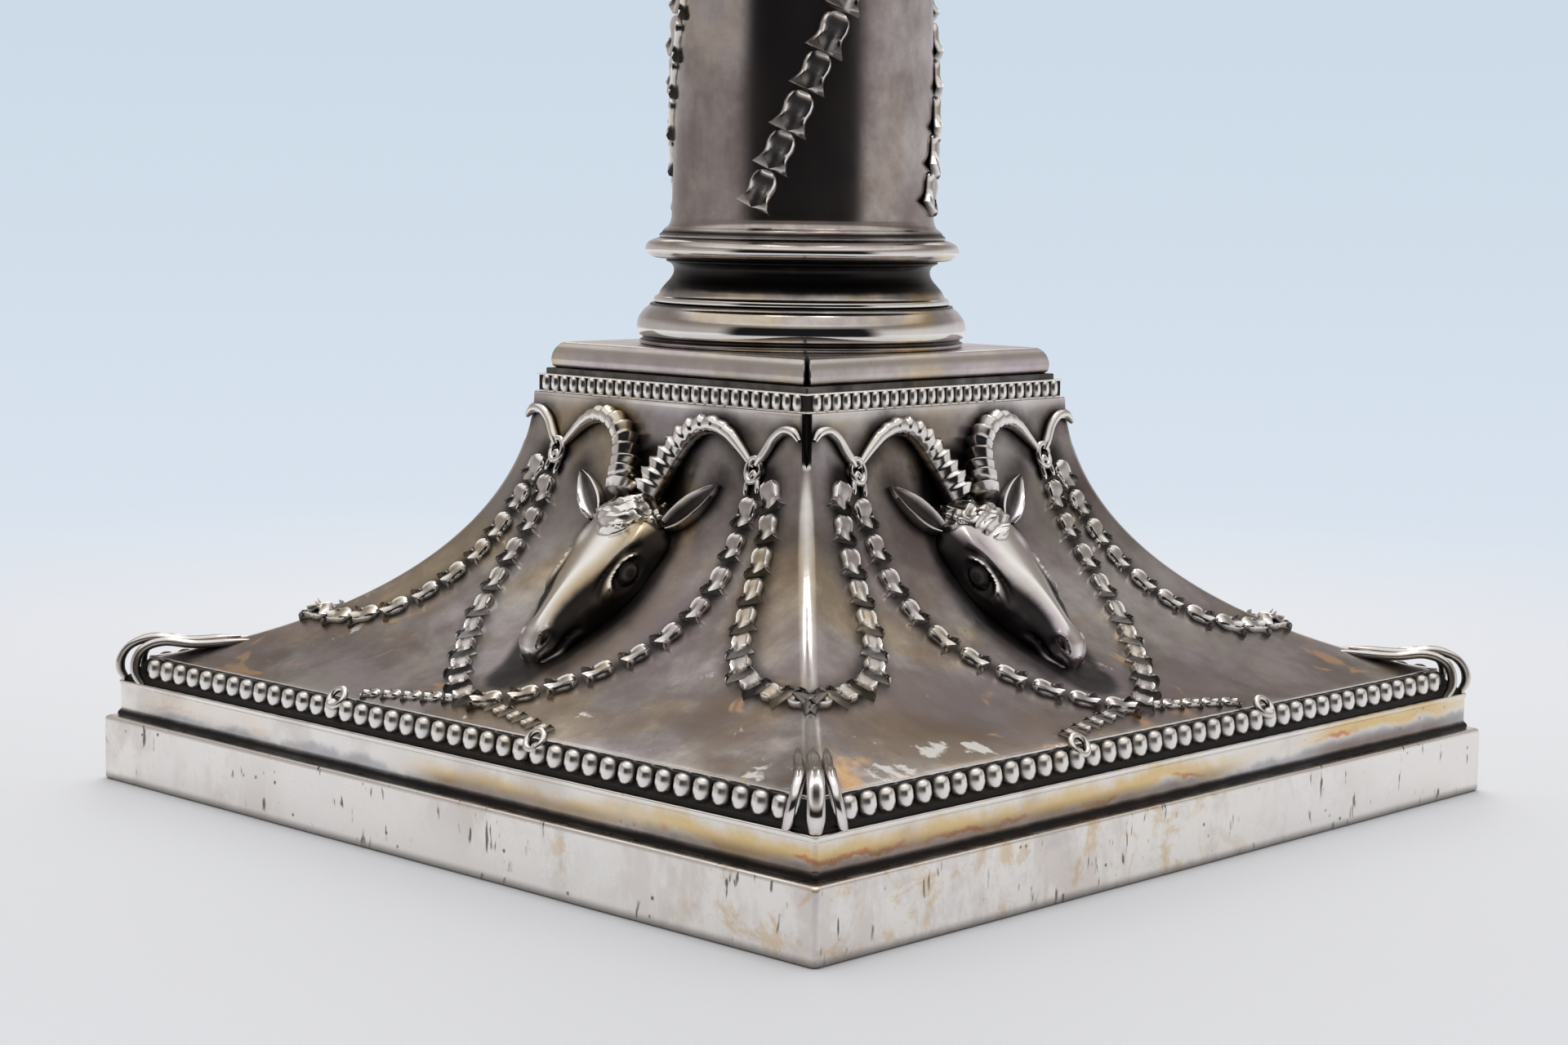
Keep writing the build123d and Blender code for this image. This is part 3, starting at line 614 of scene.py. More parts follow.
def silver(name, patina, scratches, pits, rough=0.26, bump=0.25, film=0.55, tone=1.0, extra=None):
    """Old silver: rubbed bright on its edges and lighter under painted highlights, brown where it is seldom
    touched, black with tarnish in its hollows and with painted shade under things, on shaded sides and
    between parts.
    """
    found = bpy.data.materials.get(name)
    if found:
        return found
    f = settings("finish")
    material = bpy.data.materials.new(name)
    material.use_nodes = True
    n = Nodes(material.node_tree)
    shader = material.node_tree.nodes["Principled BSDF"]
    place = n.new("TexCoord").outputs["Object"]
    tarnish_and_shade = n.new("Attribute", attribute_name="tarnish_and_shade", attribute_type="GEOMETRY").outputs["Fac"]
    polish_and_highlight = n.new("Attribute", attribute_name="polish_and_highlight", attribute_type="GEOMETRY").outputs["Fac"]
    tarnish = n.group(tarnish_group(), {"Vector": place, "Amount": 1.0})
    wear = n.group(wear_group(), {"Vector": place, "Scratches": scratches, "Pits": pits})
    # Less tarnish where an edge is rubbed and where a highlight is painted.
    kept = n.minus(1.0, n.times(polish_and_highlight, 0.9, clamp=True))
    brown = n.times(n.plus(n.times(tarnish.outputs["Thickness"], 0.45), 0.55), kept)
    colour_now = n.mix(n.times(brown, patina), (*f.silver, 1), (*(c * tone for c in f.patina), 1))
    tinted = n.new("Mix", data_type="RGBA", blend_type="OVERLAY", clamp_factor=True)
    n.put(tinted.inputs["Factor"], n.times(kept, film))
    n.put(tinted.inputs[6], colour_now)
    n.put(tinted.inputs[7], tarnish.outputs["Film"])
    colour_now = tinted.outputs[2]
    rough_now = n.plus(rough, n.times(tarnish.outputs["Thickness"], 0.10))
    if extra:
        colour_now, rough_now = extra(n, place, colour_now, rough_now)
    edge = n.noise(place, 260.0, 4.0)
    # Black from the darkening mask: tarnish in the hollows together with painted shade.
    black = n.ramp(n.plus(tarnish_and_shade, n.times(n.minus(edge, 0.5), 0.5)), 0.12, 0.95)
    black = n.math("MAXIMUM", black, n.times(wear.outputs["Pit Mask"], 0.8))
    colour_now = n.mix(n.times(black, 0.97), colour_now, (*f.black_tarnish_and_shade, 1))
    n.put(shader.inputs["Base Color"], colour_now)
    bright = n.times(polish_and_highlight, 0.12)
    rough_now = n.minus(rough_now, bright)
    rough_now = n.plus(rough_now, n.times(black, 0.22))
    n.put(shader.inputs["Roughness"], n.math("MAXIMUM", rough_now, 0.07))
    shader.inputs["Metallic"].default_value = 1.0
    height = n.new("Bump", {"Height": wear.outputs["Height"], "Strength": bump, "Distance": 0.00008})
    n.put(shader.inputs["Normal"], height.outputs["Normal"])
    return material


def near_corner(n, place):
    """A mask that is one by the front right corner, where the stains are heaviest."""
    parts = n.new("SeparateXYZ", {"Vector": place}).outputs
    right = n.ramp(parts["X"], 0.55 * FOOT_HALF, 0.9 * FOOT_HALF)
    return n.times(right, n.ramp(parts["Y"], 0.3 * FOOT_HALF, -FOOT_HALF))


def foot_stains(n, place, colour_now, rough_now):
    """The foot's mottling: pinkish-brown clouds, amber patches, and short dark upright strokes; it is also
    darker along its lowest edge.
    """
    f = settings("finish")
    cloud = n.noise(n.stretched(place, (1.0, 1.0, 0.5)), 120.0, 8.0, 0.74, 0.2)
    region = n.plus(n.noise(place, 21.0, 3.0), n.times(near_corner(n, place), 0.09))
    amount = n.times(n.ramp(cloud, 0.44, 0.58), n.ramp(region, 0.36, 0.58))
    stained = n.mix(n.times(amount, 0.40), colour_now, (0.70, 0.60, 0.56, 1))
    warm = n.times(n.ramp(n.noise(place, 170.0, 6.0, 0.7, 0.6), 0.50, 0.62), n.ramp(region, 0.52, 0.64))
    stained = n.mix(n.times(warm, 0.60), stained, (0.76, 0.55, 0.30, 1))
    bloom = n.times(n.ramp(n.noise(place, 95.0, 6.0, 0.7), 0.52, 0.64), n.ramp(region, 0.48, 0.62))
    stained = n.mix(n.times(bloom, 0.18), stained, (*f.blue, 1))
    stroke = n.noise(n.stretched(place, (1.0, 1.0, 0.22)), 1150.0, 2.0, 0.5)
    spread = n.ramp(n.noise(place, 150.0, 3.0), 0.49, 0.58)
    strokes = n.times(n.ramp(stroke, 0.63, 0.69), spread)
    stained = n.mix(n.times(strokes, 0.85), stained, (0.10, 0.08, 0.07, 1))
    # Darker along the lowest millimetre of the foot.
    foot = n.ramp(n.part(place, "Z"), 0.0013, 0.0003)
    stained = n.mix(n.times(foot, 0.7), stained, (0.22, 0.20, 0.19, 1))
    return stained, n.plus(rough_now, n.times(amount, 0.12))


def band_stains(n, place, colour_now, rough_now):
    """The step band's tide mark: blue-grey below, a thin amber line, straw above it fading out."""
    f = settings("finish")
    height = n.part(place, "Z")
    span = {"Value": height, "From Min": float(FOOT_TOP), "From Max": float(STEP_TOP)}
    up = n.new("MapRange", span).outputs[0]
    waver = n.times(n.minus(n.noise(place, 42.0, 6.0, 0.66, 0.3), 0.5), 1.7)
    level = n.plus(up, waver)
    region = n.plus(n.noise(place, 17.0, 2.0), n.times(near_corner(n, place), 0.12))
    strength = n.ramp(region, 0.42, 0.60)
    gold = n.times(n.ramp(level, 1.05, 0.62), n.ramp(level, 0.30, 0.55))
    gold = n.times(n.times(gold, 0.92), strength)
    colour_now = n.mix(gold, colour_now, (*f.straw, 1))
    line = n.times(n.ramp(level, 0.40, 0.47), n.ramp(level, 0.58, 0.49))
    broken = n.ramp(n.noise(place, 70.0, 3.0), 0.47, 0.56)
    line = n.times(n.times(line, broken), n.times(strength, 0.8))
    colour_now = n.mix(line, colour_now, (*f.rust, 1))
    below = n.times(n.ramp(level, 0.48, 0.24), 0.55)
    colour_now = n.mix(below, colour_now, (*(0.7 * c for c in f.blue), 1))
    brown = n.times(n.ramp(up, 0.62, 0.28), n.times(strength, 0.75))
    colour_now = n.mix(brown, colour_now, (0.20, 0.13, 0.09, 1))
    cloud = n.ramp(n.noise(place, 90.0, 5.0, 0.6), 0.48, 0.66)
    return n.mix(n.times(cloud, 0.35), colour_now, (0.48, 0.40, 0.38, 1)), rough_now


def column_stains(n, place, colour_now, rough_now):
    """Soft rubbed streaks up and down the shaft, and a few pinprick spots."""
    streak = n.noise(n.stretched(place, (1.0, 1.0, 0.16)), 130.0, 5.0, 0.6)
    colour_now = n.mix(n.times(n.ramp(streak, 0.45, 0.7), 0.25), colour_now, (0.62, 0.54, 0.52, 1))
    return colour_now, n.plus(rough_now, n.times(streak, 0.06))


def side_stains(n, place, colour_now, rough_now):
    """Patches on the swept sides: browns, painted amber glints of warm reflected light and dull white polish
    low down, olive and violet films.
    """
    parts = n.new("SeparateXYZ", {"Vector": place}).outputs
    lower = n.ramp(parts["Z"], float(SWEEP_BOTTOM + 11 * MM), float(SWEEP_BOTTOM + 3 * MM))
    brown = n.times(n.ramp(n.noise(place, 58.0, 5.0, 0.62, 0.4), 0.46, 0.60), 0.6)
    colour_now = n.mix(n.times(brown, lower), colour_now, (0.17, 0.115, 0.08, 1))
    # Amber patches low down: painted glints of warm reflected light.
    gold = n.times(n.ramp(n.noise(place, 84.0, 3.0, 0.5, 1.8), 0.60, 0.70), 0.75)
    colour_now = n.mix(n.times(gold, lower), colour_now, (0.84, 0.52, 0.24, 1))
    upper = n.ramp(parts["Z"], float(SWEEP_BOTTOM + 5 * MM), float(SWEEP_TOP - 12 * MM))
    bare = n.ramp(parts["Z"], float(SWEEP_TOP - 1.2 * MM), float(SWEEP_TOP - 3.0 * MM))
    upper = n.times(n.times(upper, bare), 0.20)
    colour_now = n.mix(upper, colour_now, (0.115, 0.10, 0.095, 1))
    olive = n.ramp(n.noise(place, 52.0, 5.0, 0.6, 0.3), 0.50, 0.66)
    colour_now = n.mix(n.times(olive, 0.40), colour_now, (0.33, 0.265, 0.17, 1))
    violet = n.ramp(n.noise(place, 33.0, 4.0, 0.55, 0.4), 0.52, 0.66)
    colour_now = n.mix(n.times(violet, 0.42), colour_now, (0.31, 0.255, 0.27, 1))
    near = n.times(near_corner(n, place), 0.11)
    chalk = n.plus(n.noise(place, 105.0, 5.0, 0.62), near)
    chalk = n.times(n.ramp(chalk, 0.66, 0.70), lower)
    colour_now = n.mix(n.times(chalk, 0.85), colour_now, (0.86, 0.85, 0.82, 1))
    return colour_now, n.plus(rough_now, n.times(chalk, 0.4))


# each finish: the slot it belongs to, its material's name, and how old and how polished it is
# tone darkens or lightens a part's tarnish: partly tarnish that differs from part to part, partly painted
# light, with the head and the swept sides made darker and the cap lighter for how light fell on them; the
# head's heavier film also dulls its highlights.
FINISHES = {
    "satin": ("satin_silver", "Satin silver", dict(patina=0.70, scratches=0.35, pits=0.15, rough=0.20)),
    "side": ("satin_silver", "Swept side silver", dict(patina=1.0, scratches=0.3, pits=0.2, rough=0.20,
                                                       film=0.6, tone=0.66, extra=side_stains)),
    "cap": ("satin_silver", "Cap silver", dict(patina=0.86, scratches=0.4, pits=0.2, rough=0.19, film=0.7,
                                               tone=1.05)),
    "foot": ("worn_silver", "Worn foot silver", dict(patina=0.0, film=0.3, scratches=0.9, pits=1.0, bump=0.4,
                                                     extra=foot_stains)),
    "band": ("stained_silver", "Stained band silver", dict(patina=0.06, scratches=0.4, pits=0.4, rough=0.20,
                                                           extra=band_stains)),
    "bead": ("beaded_silver", "Beaded wire silver", dict(patina=0.42, scratches=0.1, pits=0.1, rough=0.27,
                                                         bump=0.12)),
    "cast": ("cast_silver", "Chased silver", dict(patina=0.72, scratches=0.2, pits=0.1, rough=0.18, bump=0.15,
                                                  tone=0.9)),
    "head": ("cast_silver", "Head silver", dict(patina=0.9, scratches=0.2, pits=0.1, rough=0.19, bump=0.15,
                                                film=0.85, tone=0.72)),
    "column": ("column_silver", "Rubbed column silver", dict(patina=1.0, scratches=0.2, pits=0.12, rough=0.11,
                                                             film=0.2, tone=0.80, extra=column_stains)),
    "ring": ("column_silver", "Turned ring silver", dict(patina=0.85, scratches=0.2, pits=0.2, rough=0.10,
                                                         film=0.9, tone=0.8)),
}


def finish(key):
    """The slot and the material of one of the finishes."""
    slot, name, facts = FINISHES[key]
    return slot, silver(name, **facts)


def plain(name, base, rough, metallic=0.0, scale=120.0, dark=0.5, bump=0.3, stretch=(1, 1, 1)):
    """A dull material mottled between its colour and a darker one."""
    material = bpy.data.materials.new(name)
    material.use_nodes = True
    n = Nodes(material.node_tree)
    shader = material.node_tree.nodes["Principled BSDF"]
    place = n.stretched(n.new("TexCoord").outputs["Object"], stretch)
    cloud = n.noise(place, scale, 6.0, 0.6, 0.3)
    shade = (*(c * dark for c in base), 1)
    n.put(shader.inputs["Base Color"], n.mix(n.ramp(cloud, 0.35, 0.7), (*base, 1), shade))
    n.put(shader.inputs["Roughness"], n.plus(n.times(cloud, 0.2), rough - 0.1))
    shader.inputs["Metallic"].default_value = metallic
    grain = n.new("Bump", {"Height": n.noise(place, scale * 8, 4.0), "Strength": bump, "Distance": 0.0002})
    n.put(shader.inputs["Normal"], grain.outputs["Normal"])
    return material


# ---- foot and swept sides ----------------------------------------------------------------------
class Builder:
    """What every piece's operator shares."""
    bl_options = {"REGISTER", "UNDO"}

    def execute(self, context):
        self.build()
        return {"FINISHED"}


class CANDLESTICK_OT_foot(Builder, bpy.types.Operator):
    """Build the foot's upright rim and the step band above it"""
    bl_idname = "candlestick.foot"
    bl_label = "Foot and step band"

    def build(self):
        wall, shelf = 1.2 * MM, 0.8 * MM
        inner = STEP_HALF - 1.0 * MM
        rim = [(FOOT_HALF, 0), (FOOT_HALF, FOOT_TOP), (inner, FOOT_TOP), (inner, FOOT_TOP - shelf),
               (FOOT_HALF - wall, FOOT_TOP - shelf), (FOOT_HALF - wall, 0)]
        points = square_ring(rounded(rim, 0.55 * MM, 5), 0.7 * MM, 90)
        points = uneven(points, 9 * MM, 0.05 * MM)
        # Brighter along the top edge: rubbed bright and a painted highlight.
        edge = hill(points[..., 2] - FOOT_TOP, 0.5 * MM)
        add_piece("foot_rim_finished", loop_skin(points, polish_and_highlight=0.8 * edge), "foot", "foot_rim")
        lip, fillet = 0.15 * MM, 0.35 * MM
        band = [
            (STEP_HALF + fillet, FOOT_TOP), (STEP_HALF + fillet, FOOT_TOP + 0.5 * MM),
            (STEP_HALF, FOOT_TOP + 0.9 * MM), (STEP_HALF, STEP_TOP - 0.75 * MM),
            (STEP_HALF + lip, STEP_TOP - 0.5 * MM), (STEP_HALF + lip, STEP_TOP), (TOE_HALF, STEP_TOP),
            (TOE_HALF, STEP_TOP - 1.0 * MM), (inner, STEP_TOP - 1.0 * MM), (inner, FOOT_TOP),
        ]
        points = uneven(square_ring(rounded(band, 0.22 * MM, 4), 0.6 * MM, 90), 11 * MM, 0.04 * MM)
        z = points[..., 2]
        # Brighter along the top lip, rubbed and a painted highlight; darker along the foot of the band where
        # it meets the rim: tarnish in the joint and painted shade.
        edge = hill(z - STEP_TOP, 0.45 * MM)
        dark = hill(z - FOOT_TOP - 0.45 * MM, 0.62 * MM)
        add_piece("step_band_finished", loop_skin(points, dark, edge), "band", "step_band")


def distance_to(points, line):
    """Distance of each (across, run) point from a line of points: the least over all of them."""
    flat = points.reshape(-1, 2)
    best = np.full(len(flat), 1.0)
    for place in line:
        best = np.minimum(best, np.hypot(*(flat - place).T))
    return best.reshape(points.shape[:-1])


class CANDLESTICK_OT_sides(Builder, bpy.types.Operator):
    """Build the four swept sides, mitred at the corners"""
    bl_idname = "candlestick.sides"
    bl_label = "Swept sides"

    def build(self):
        sheet = settings("sweep").sheet
        down = np.linspace(0, 1, 120)
        outer = bezier(sweep_controls(), down)
        inner = bezier(sweep_controls(sheet), np.linspace(1, 0, 24))
        outline = np.concatenate([outer, inner])
        ridge = 1.5 * MM
        bend = np.linspace(0, math.pi / 4, 7)[1:]
        even = np.linspace(-1, 1, 151)
        ones = np.ones(len(bend))
        t = np.concatenate([-ones, 0.45 * np.sin(even * math.pi / 2) + 0.55 * even, ones])
        bend = np.concatenate([-bend[::-1], 0 * even, bend])
        w, z = outline.T
        x = t[:, None] * (w - ridge) + ridge * np.sin(bend)[:, None]
        y = -(w - ridge) - ridge * np.cos(bend)[:, None]
        points = np.stack([x, y, 0 * x + z], -1)
        run = run_along(outline)
        rows = len(outer)
        places = np.stack([abs(x[:, :rows]), np.broadcast_to(run[:rows], (len(t), rows))], -1)
        tarnish_and_shade = np.zeros(x.shape)
        # Dark round the raised work: tarnish in the hollows beside it and painted shade, the shadow that
        # horns and ears cast on the sheet.
        for line, count, reach, depth in ((FESTOON, 80, 2.5, 0.80), (CORNER_LOOP, 60, 2.7, 0.85),
                                          (DROP, 30, 2.0, 0.6), (RIBBON_ARCH, 20, 2.0, 0.7),
                                          (HORN, 40, 3.0, 0.85), (EAR, 20, 3.2, 0.7)):
            far = distance_to(places, smooth_line(line, count))
            tarnish_and_shade[:, :rows] = np.maximum(tarnish_and_shade[:, :rows], depth * hill(far, reach * MM))
        # Dark beside the head's jaw: painted shadow of the head on the sheet.
        jaw = np.array([(0, 12), (0, 17), (0, 22), (0, 27), (0, 32), (0, 37), (0, 41)]) * MM
        width = MM * np.interp(places[..., 1] / MM, [10, 18, 28, 34, 40], [6, 8, 7, 5, 3])
        far = np.maximum(distance_to(places, smooth_line(jaw, 60)) - width, 0)
        tarnish_and_shade[:, :rows] = np.maximum(tarnish_and_shade[:, :rows], 0.85 * hill(far, 1.7 * MM))
        # Bright along the mitred ridges, the waist and the toe: rubbed edges and painted highlights.
        top = hill(run[:rows], 1.0 * MM)
        foot = hill(run[:rows] - run[rows - 1], 0.6 * MM)
        polish_and_highlight = np.zeros(x.shape)
        polish_and_highlight[:, :rows] = np.maximum(np.sin(abs(bend)[:, None]) * 1.2, 0.7 * foot + 0.6 * top)
        # The mitre's slot below the waist is opened a little and painted dark: painted shade inside the slot.
        slot = clamped((z[:rows] - (SWEEP_TOP - 6.2 * MM)) / (0.5 * MM))
        gap = slot * clamped((abs(bend)[:, None] - 0.4) / 0.1)
        points[:, :rows, 0] -= np.sign(t)[:, None] * 0.45 * MM * gap
        tarnish_and_shade[:, :rows] = np.maximum(tarnish_and_shade[:, :rows], gap)
        out = 0.03 * MM * np.sin(points[..., 0] / (7 * MM) + 1) * np.sin(points[..., 2] / (5 * MM))
        points[:, 3:rows - 3, 1] -= (out * np.cos(2 * bend)[:, None])[:, 3:rows - 3]
        panel = ring_skin(points, tarnish_and_shade, polish_and_highlight)
        add_sides("side_panel_%s_finished", panel, "side", "side_panel_%s")


# ---- beaded wires and mounts -------------------------------------------------------------------
def bead(half_width, half_height):
    """One bead, a little taller than wide, in circles of latitude: painted shade at its sides and back, and a
    painted highlight on its front.
    """
    lat = np.linspace(-0.93, 0.93, 7) * math.pi / 2
    lon = circle(12)
    flat = np.cos(lat) ** 0.45
    rings = np.stack([half_width * np.outer(flat, np.cos(lon)), half_width * np.outer(flat, np.sin(lon)),
                      half_height * np.repeat(np.sin(lat)[:, None], len(lon), 1)], -1)
    # front: 1 where the bead faces out of the side; the rest is painted shade, the middle of the front a
    # painted highlight.
    front = -rings[..., 1] / half_width
    return ring_skin(rings, clamped(1.0 - 1.6 * front), clamped(2.2 * front - 1.0))


def bead_row(line, corner_gap, pitch, half_width, half_height, level):
    """Beads evenly spaced along the front side, the same distance from both corners."""
    run = 2 * (line - corner_gap)
    count = max(2, round(run / pitch) + 1)
    x = np.linspace(-run / 2, run / 2, count)
    origins = np.stack([x, 0 * x - line, 0 * x + level], -1)
    sizes = 1 + 0.04 * np.random.default_rng(7).uniform(-1, 0.3, count)
    return scattered(bead(half_width, half_height), origins, np.repeat(np.eye(3)[None], count, 0), sizes)


class CANDLESTICK_OT_bead_wires(Builder, bpy.types.Operator):
    """Build the beaded wires of the foot's border, the plinth and the nozzle's rim"""
    bl_idname = "candlestick.bead_wires"
    bl_label = "Beaded wires"

    def build(self):
        b = settings("beads")
        hollow = 0.8 * b.border_radius
        line, fillet = b.border_line, 0.35 * MM
        strip = [
            (TOE_HALF, STEP_TOP), (STEP_HALF - 0.4 * MM, STEP_TOP),
            (STEP_HALF - 0.4 * MM, STEP_TOP + 0.4 * MM),
            (line + 0.3 * hollow, STEP_TOP + hollow), (line - hollow, SWEEP_BOTTOM - 0.6 * hollow),
            (TOE_HALF + fillet, SWEEP_BOTTOM - 0.3 * MM), (TOE_HALF + fillet, SWEEP_BOTTOM + 0.1 * MM),
            (TOE_HALF, SWEEP_BOTTOM + 0.1 * MM),
        ]
        outline = rounded(strip, 0.12 * MM, 3)
        points = mitred(outline, 40)
        z = points[..., 2]
        # The groove under the beads is painted dark as shade; the rest of the strip, with its fillets, is
        # painted bright as highlight.
        tarnish_and_shade = clamped((SWEEP_BOTTOM - 0.1 * MM - z) / (0.3 * MM))
        base = ring_skin(points, tarnish_and_shade, 1 - tarnish_and_shade)
        level = (STEP_TOP + SWEEP_BOTTOM) / 2 + 0.25 * MM
        wide, high = 1.06 * b.border_radius, 1.22 * b.border_radius
        beads = bead_row(line, b.border_gap, b.border_pitch, wide, high, level)
        wire = joined([base, beads])
        add_sides("border_beads_%s", wire, "bead", "border_bead_wire_%s")
        seat, top = LOW["plinth"][2], HIGH["plinth_bead_wire_front"][2]
        half = HIGH["plinth"][0]
        wire = self.flat_wire(half, 0.55 * MM, seat, top, b.plinth_radius, b.plinth_pitch, 0.1 * MM)
        add_sides("plinth_beads_%s", wire, "bead", "plinth_bead_wire_%s")
        low = LOW["nozzle_bead_wires"][2]
        wire = self.flat_wire(HIGH["nozzle_pan"][0], 0.5 * MM, low, RIM_TOP, b.pan_radius, b.pan_pitch, 0.0,
                              wide=1.05, dark=0.7)
        add_piece("nozzle_rim_beads", round_axis(wire), "bead", "nozzle_bead_wires", body="nozzle")

    def flat_wire(self, half, depth, low, top, radius, pitch, sink, wide=0.76, dark=1.0):
        """A flat strip with a thin fillet above and below a row of beads `wide` times their radius across."""
        out, fillet = half + depth, 0.22 * MM
        strip = [(half, low), (out + fillet, low), (out + fillet, low + fillet), (out, low + fillet),
                 (out, top - fillet), (out + fillet, top - fillet), (out + fillet, top), (half, top)]
        points = mitred(rounded(strip, 0.05 * MM, 3), 30)
        # The strip behind the beads is painted dark, shade between and behind them; the fillets above and
        # below are painted bright as highlights.
        inside = (points[..., 2] > low + 1.2 * fillet) & (points[..., 2] < top - 1.2 * fillet)
        base = ring_skin(points, inside * dark, ~inside * 1.0)
        beads = bead_row(out - sink, 1.5 * radius, pitch, wide * radius, 1.22 * radius, (low + top) / 2)
        return joined([base, beads])


def strap(path, normals, half_width, thickness, around=14):
    """A flat band along a path: an oval of a given half-width across and thickness along the normal."""
    radii = np.broadcast_to(np.asarray(half_width, float).reshape(-1, 1), (len(path), around))
    rings = tube(path, normals, radii, around)
    unit = normalised(normals)
    lift = np.einsum("rcj,rj->rc", rings - np.asarray(path)[:, None], unit)
    share = thickness / np.maximum(np.max(radii), 1e-9)
    rings = rings + unit[:, None] * (lift * (share - 1))[..., None]
    height = lift * share / max(thickness, 1e-9)
    # Painted shade on the underside and at the edges, painted highlight on the top.
    tarnish_and_shade = clamped(0.3 - height) * 0.8
    polish_and_highlight = clamped(height)
    return rings, tarnish_and_shade, polish_and_highlight


class CANDLESTICK_OT_border_mounts(Builder, bpy.types.Operator):
    """Build the leaf clasps over the corners of the border and the ring clips on it"""
    bl_idname = "candlestick.border_mounts"
    bl_label = "Corner clasps and clips"

    def build(self):
        add_piece("corner_clasps_finished", round_axis(self.clasp()), "cast", "corner_clasps")
        add_piece("border_clips_finished", round_axis(self.clips()), "cast", "border_clips")

    def clasp(self):
        """Three ribs that spring from the ridge, arch over the border and spread as they fall to the step."""
        reach = sweep_length()
        inner = on_side(0, reach - 8.5 * MM)[0]
        over = np.array([(-inner[1], inner[2] + 0.1 * MM), (56.6 * MM, SWEEP_BOTTOM + 2.2 * MM),
                         (59.4 * MM, SWEEP_BOTTOM + 2.5 * MM), (61.4 * MM, SWEEP_BOTTOM + 1.5 * MM),
                         (62.3 * MM, SWEEP_BOTTOM - 0.4 * MM), (62.3 * MM, STEP_TOP + 1.3 * MM),
                         (61.9 * MM, STEP_TOP + 0.3 * MM)])
        line = smooth_line(over, 34)
        v = np.linspace(0, 1, len(line))
        slope = np.gradient(line, axis=0)
        out, up = -slope[:, 1], slope[:, 0]
        size = np.hypot(out, up)
        ribs = []
        for way in (-1, 0, 1):
            spread = abs(way) * MM * np.interp(v, [0, 0.3, 0.6, 0.75, 1], [2.1, 2.2, 2.3, 2.9, 4.2])
            x = line[:, 0] - (spread if way < 0 else 0)
            y = -line[:, 0] + (spread if way > 0 else 0)
            path = np.stack([x, y, line[:, 1] - 0.15 * spread], -1)
            normal = np.stack([out / size, -out / size, up / size * 1.414], -1)
            width = (0.88 if way == 0 else 0.62) * MM
            width = width * np.interp(v, [0, 0.15, 0.5, 0.9, 1], [0.3, 0.9, 1.0, 1.1, 0.8])
            rings, tarnish_and_shade, polish_and_highlight = strap(path, normal, width, 0.62 * MM)
            if way == 0:
                turn = circle(rings.shape[1])
                hole = hill(v - 0.74, 0.09)[:, None] * clamped(np.sin(turn)) ** 6
                rings = rings - normalised(normal)[:, None] * (0.5 * MM * hole)[..., None]
                tarnish_and_shade, polish_and_highlight = np.maximum(tarnish_and_shade, hole), polish_and_highlight * (1 - hole)
            ribs.append(ring_skin(rings, tarnish_and_shade, polish_and_highlight))
        return joined(ribs)

    def clips(self):
        """Two rings that lean on the border of a side, where the drops of husks end."""
        around = circle(20)
        lean = math.radians(38)
        normal = np.array([0, -math.cos(lean), math.sin(lean)])
        rings = []
        place, radius, wire_radius = 18.0 * MM, 1.25 * MM, 0.4 * MM
        side = np.array([1.0, 0, 0])
        down = np.cross(normal, side)
        for x in (-place, place):
            centre = np.array([x, -settings("beads").border_line - 0.1 * MM, SWEEP_BOTTOM + 0.2 * MM])
            path = centre + radius * (np.cos(around)[:, None] * side + np.sin(around)[:, None] * down)
            outward = (path - centre) / radius
            wire = circle(10)
            grid = path[:, None] + wire_radius * (np.cos(wire)[None, :, None] * outward[:, None]
                                                  + np.sin(wire)[None, :, None] * normal)
            # Painted shade on the underside of each wire, painted highlight on its top.
            rings.append(loop_skin(grid, clamped(-np.sin(wire)), clamped(np.sin(wire))))
        return joined(rings)


# ---- horned heads ------------------------------------------------------------------------------
def bump_at(s, u, s0, u0, size_s, size_u):
    """A soft round hill of height one on the head's surface."""
    return np.exp(-((s - s0) / size_s) ** 2 - ((u - u0) / size_u) ** 2)


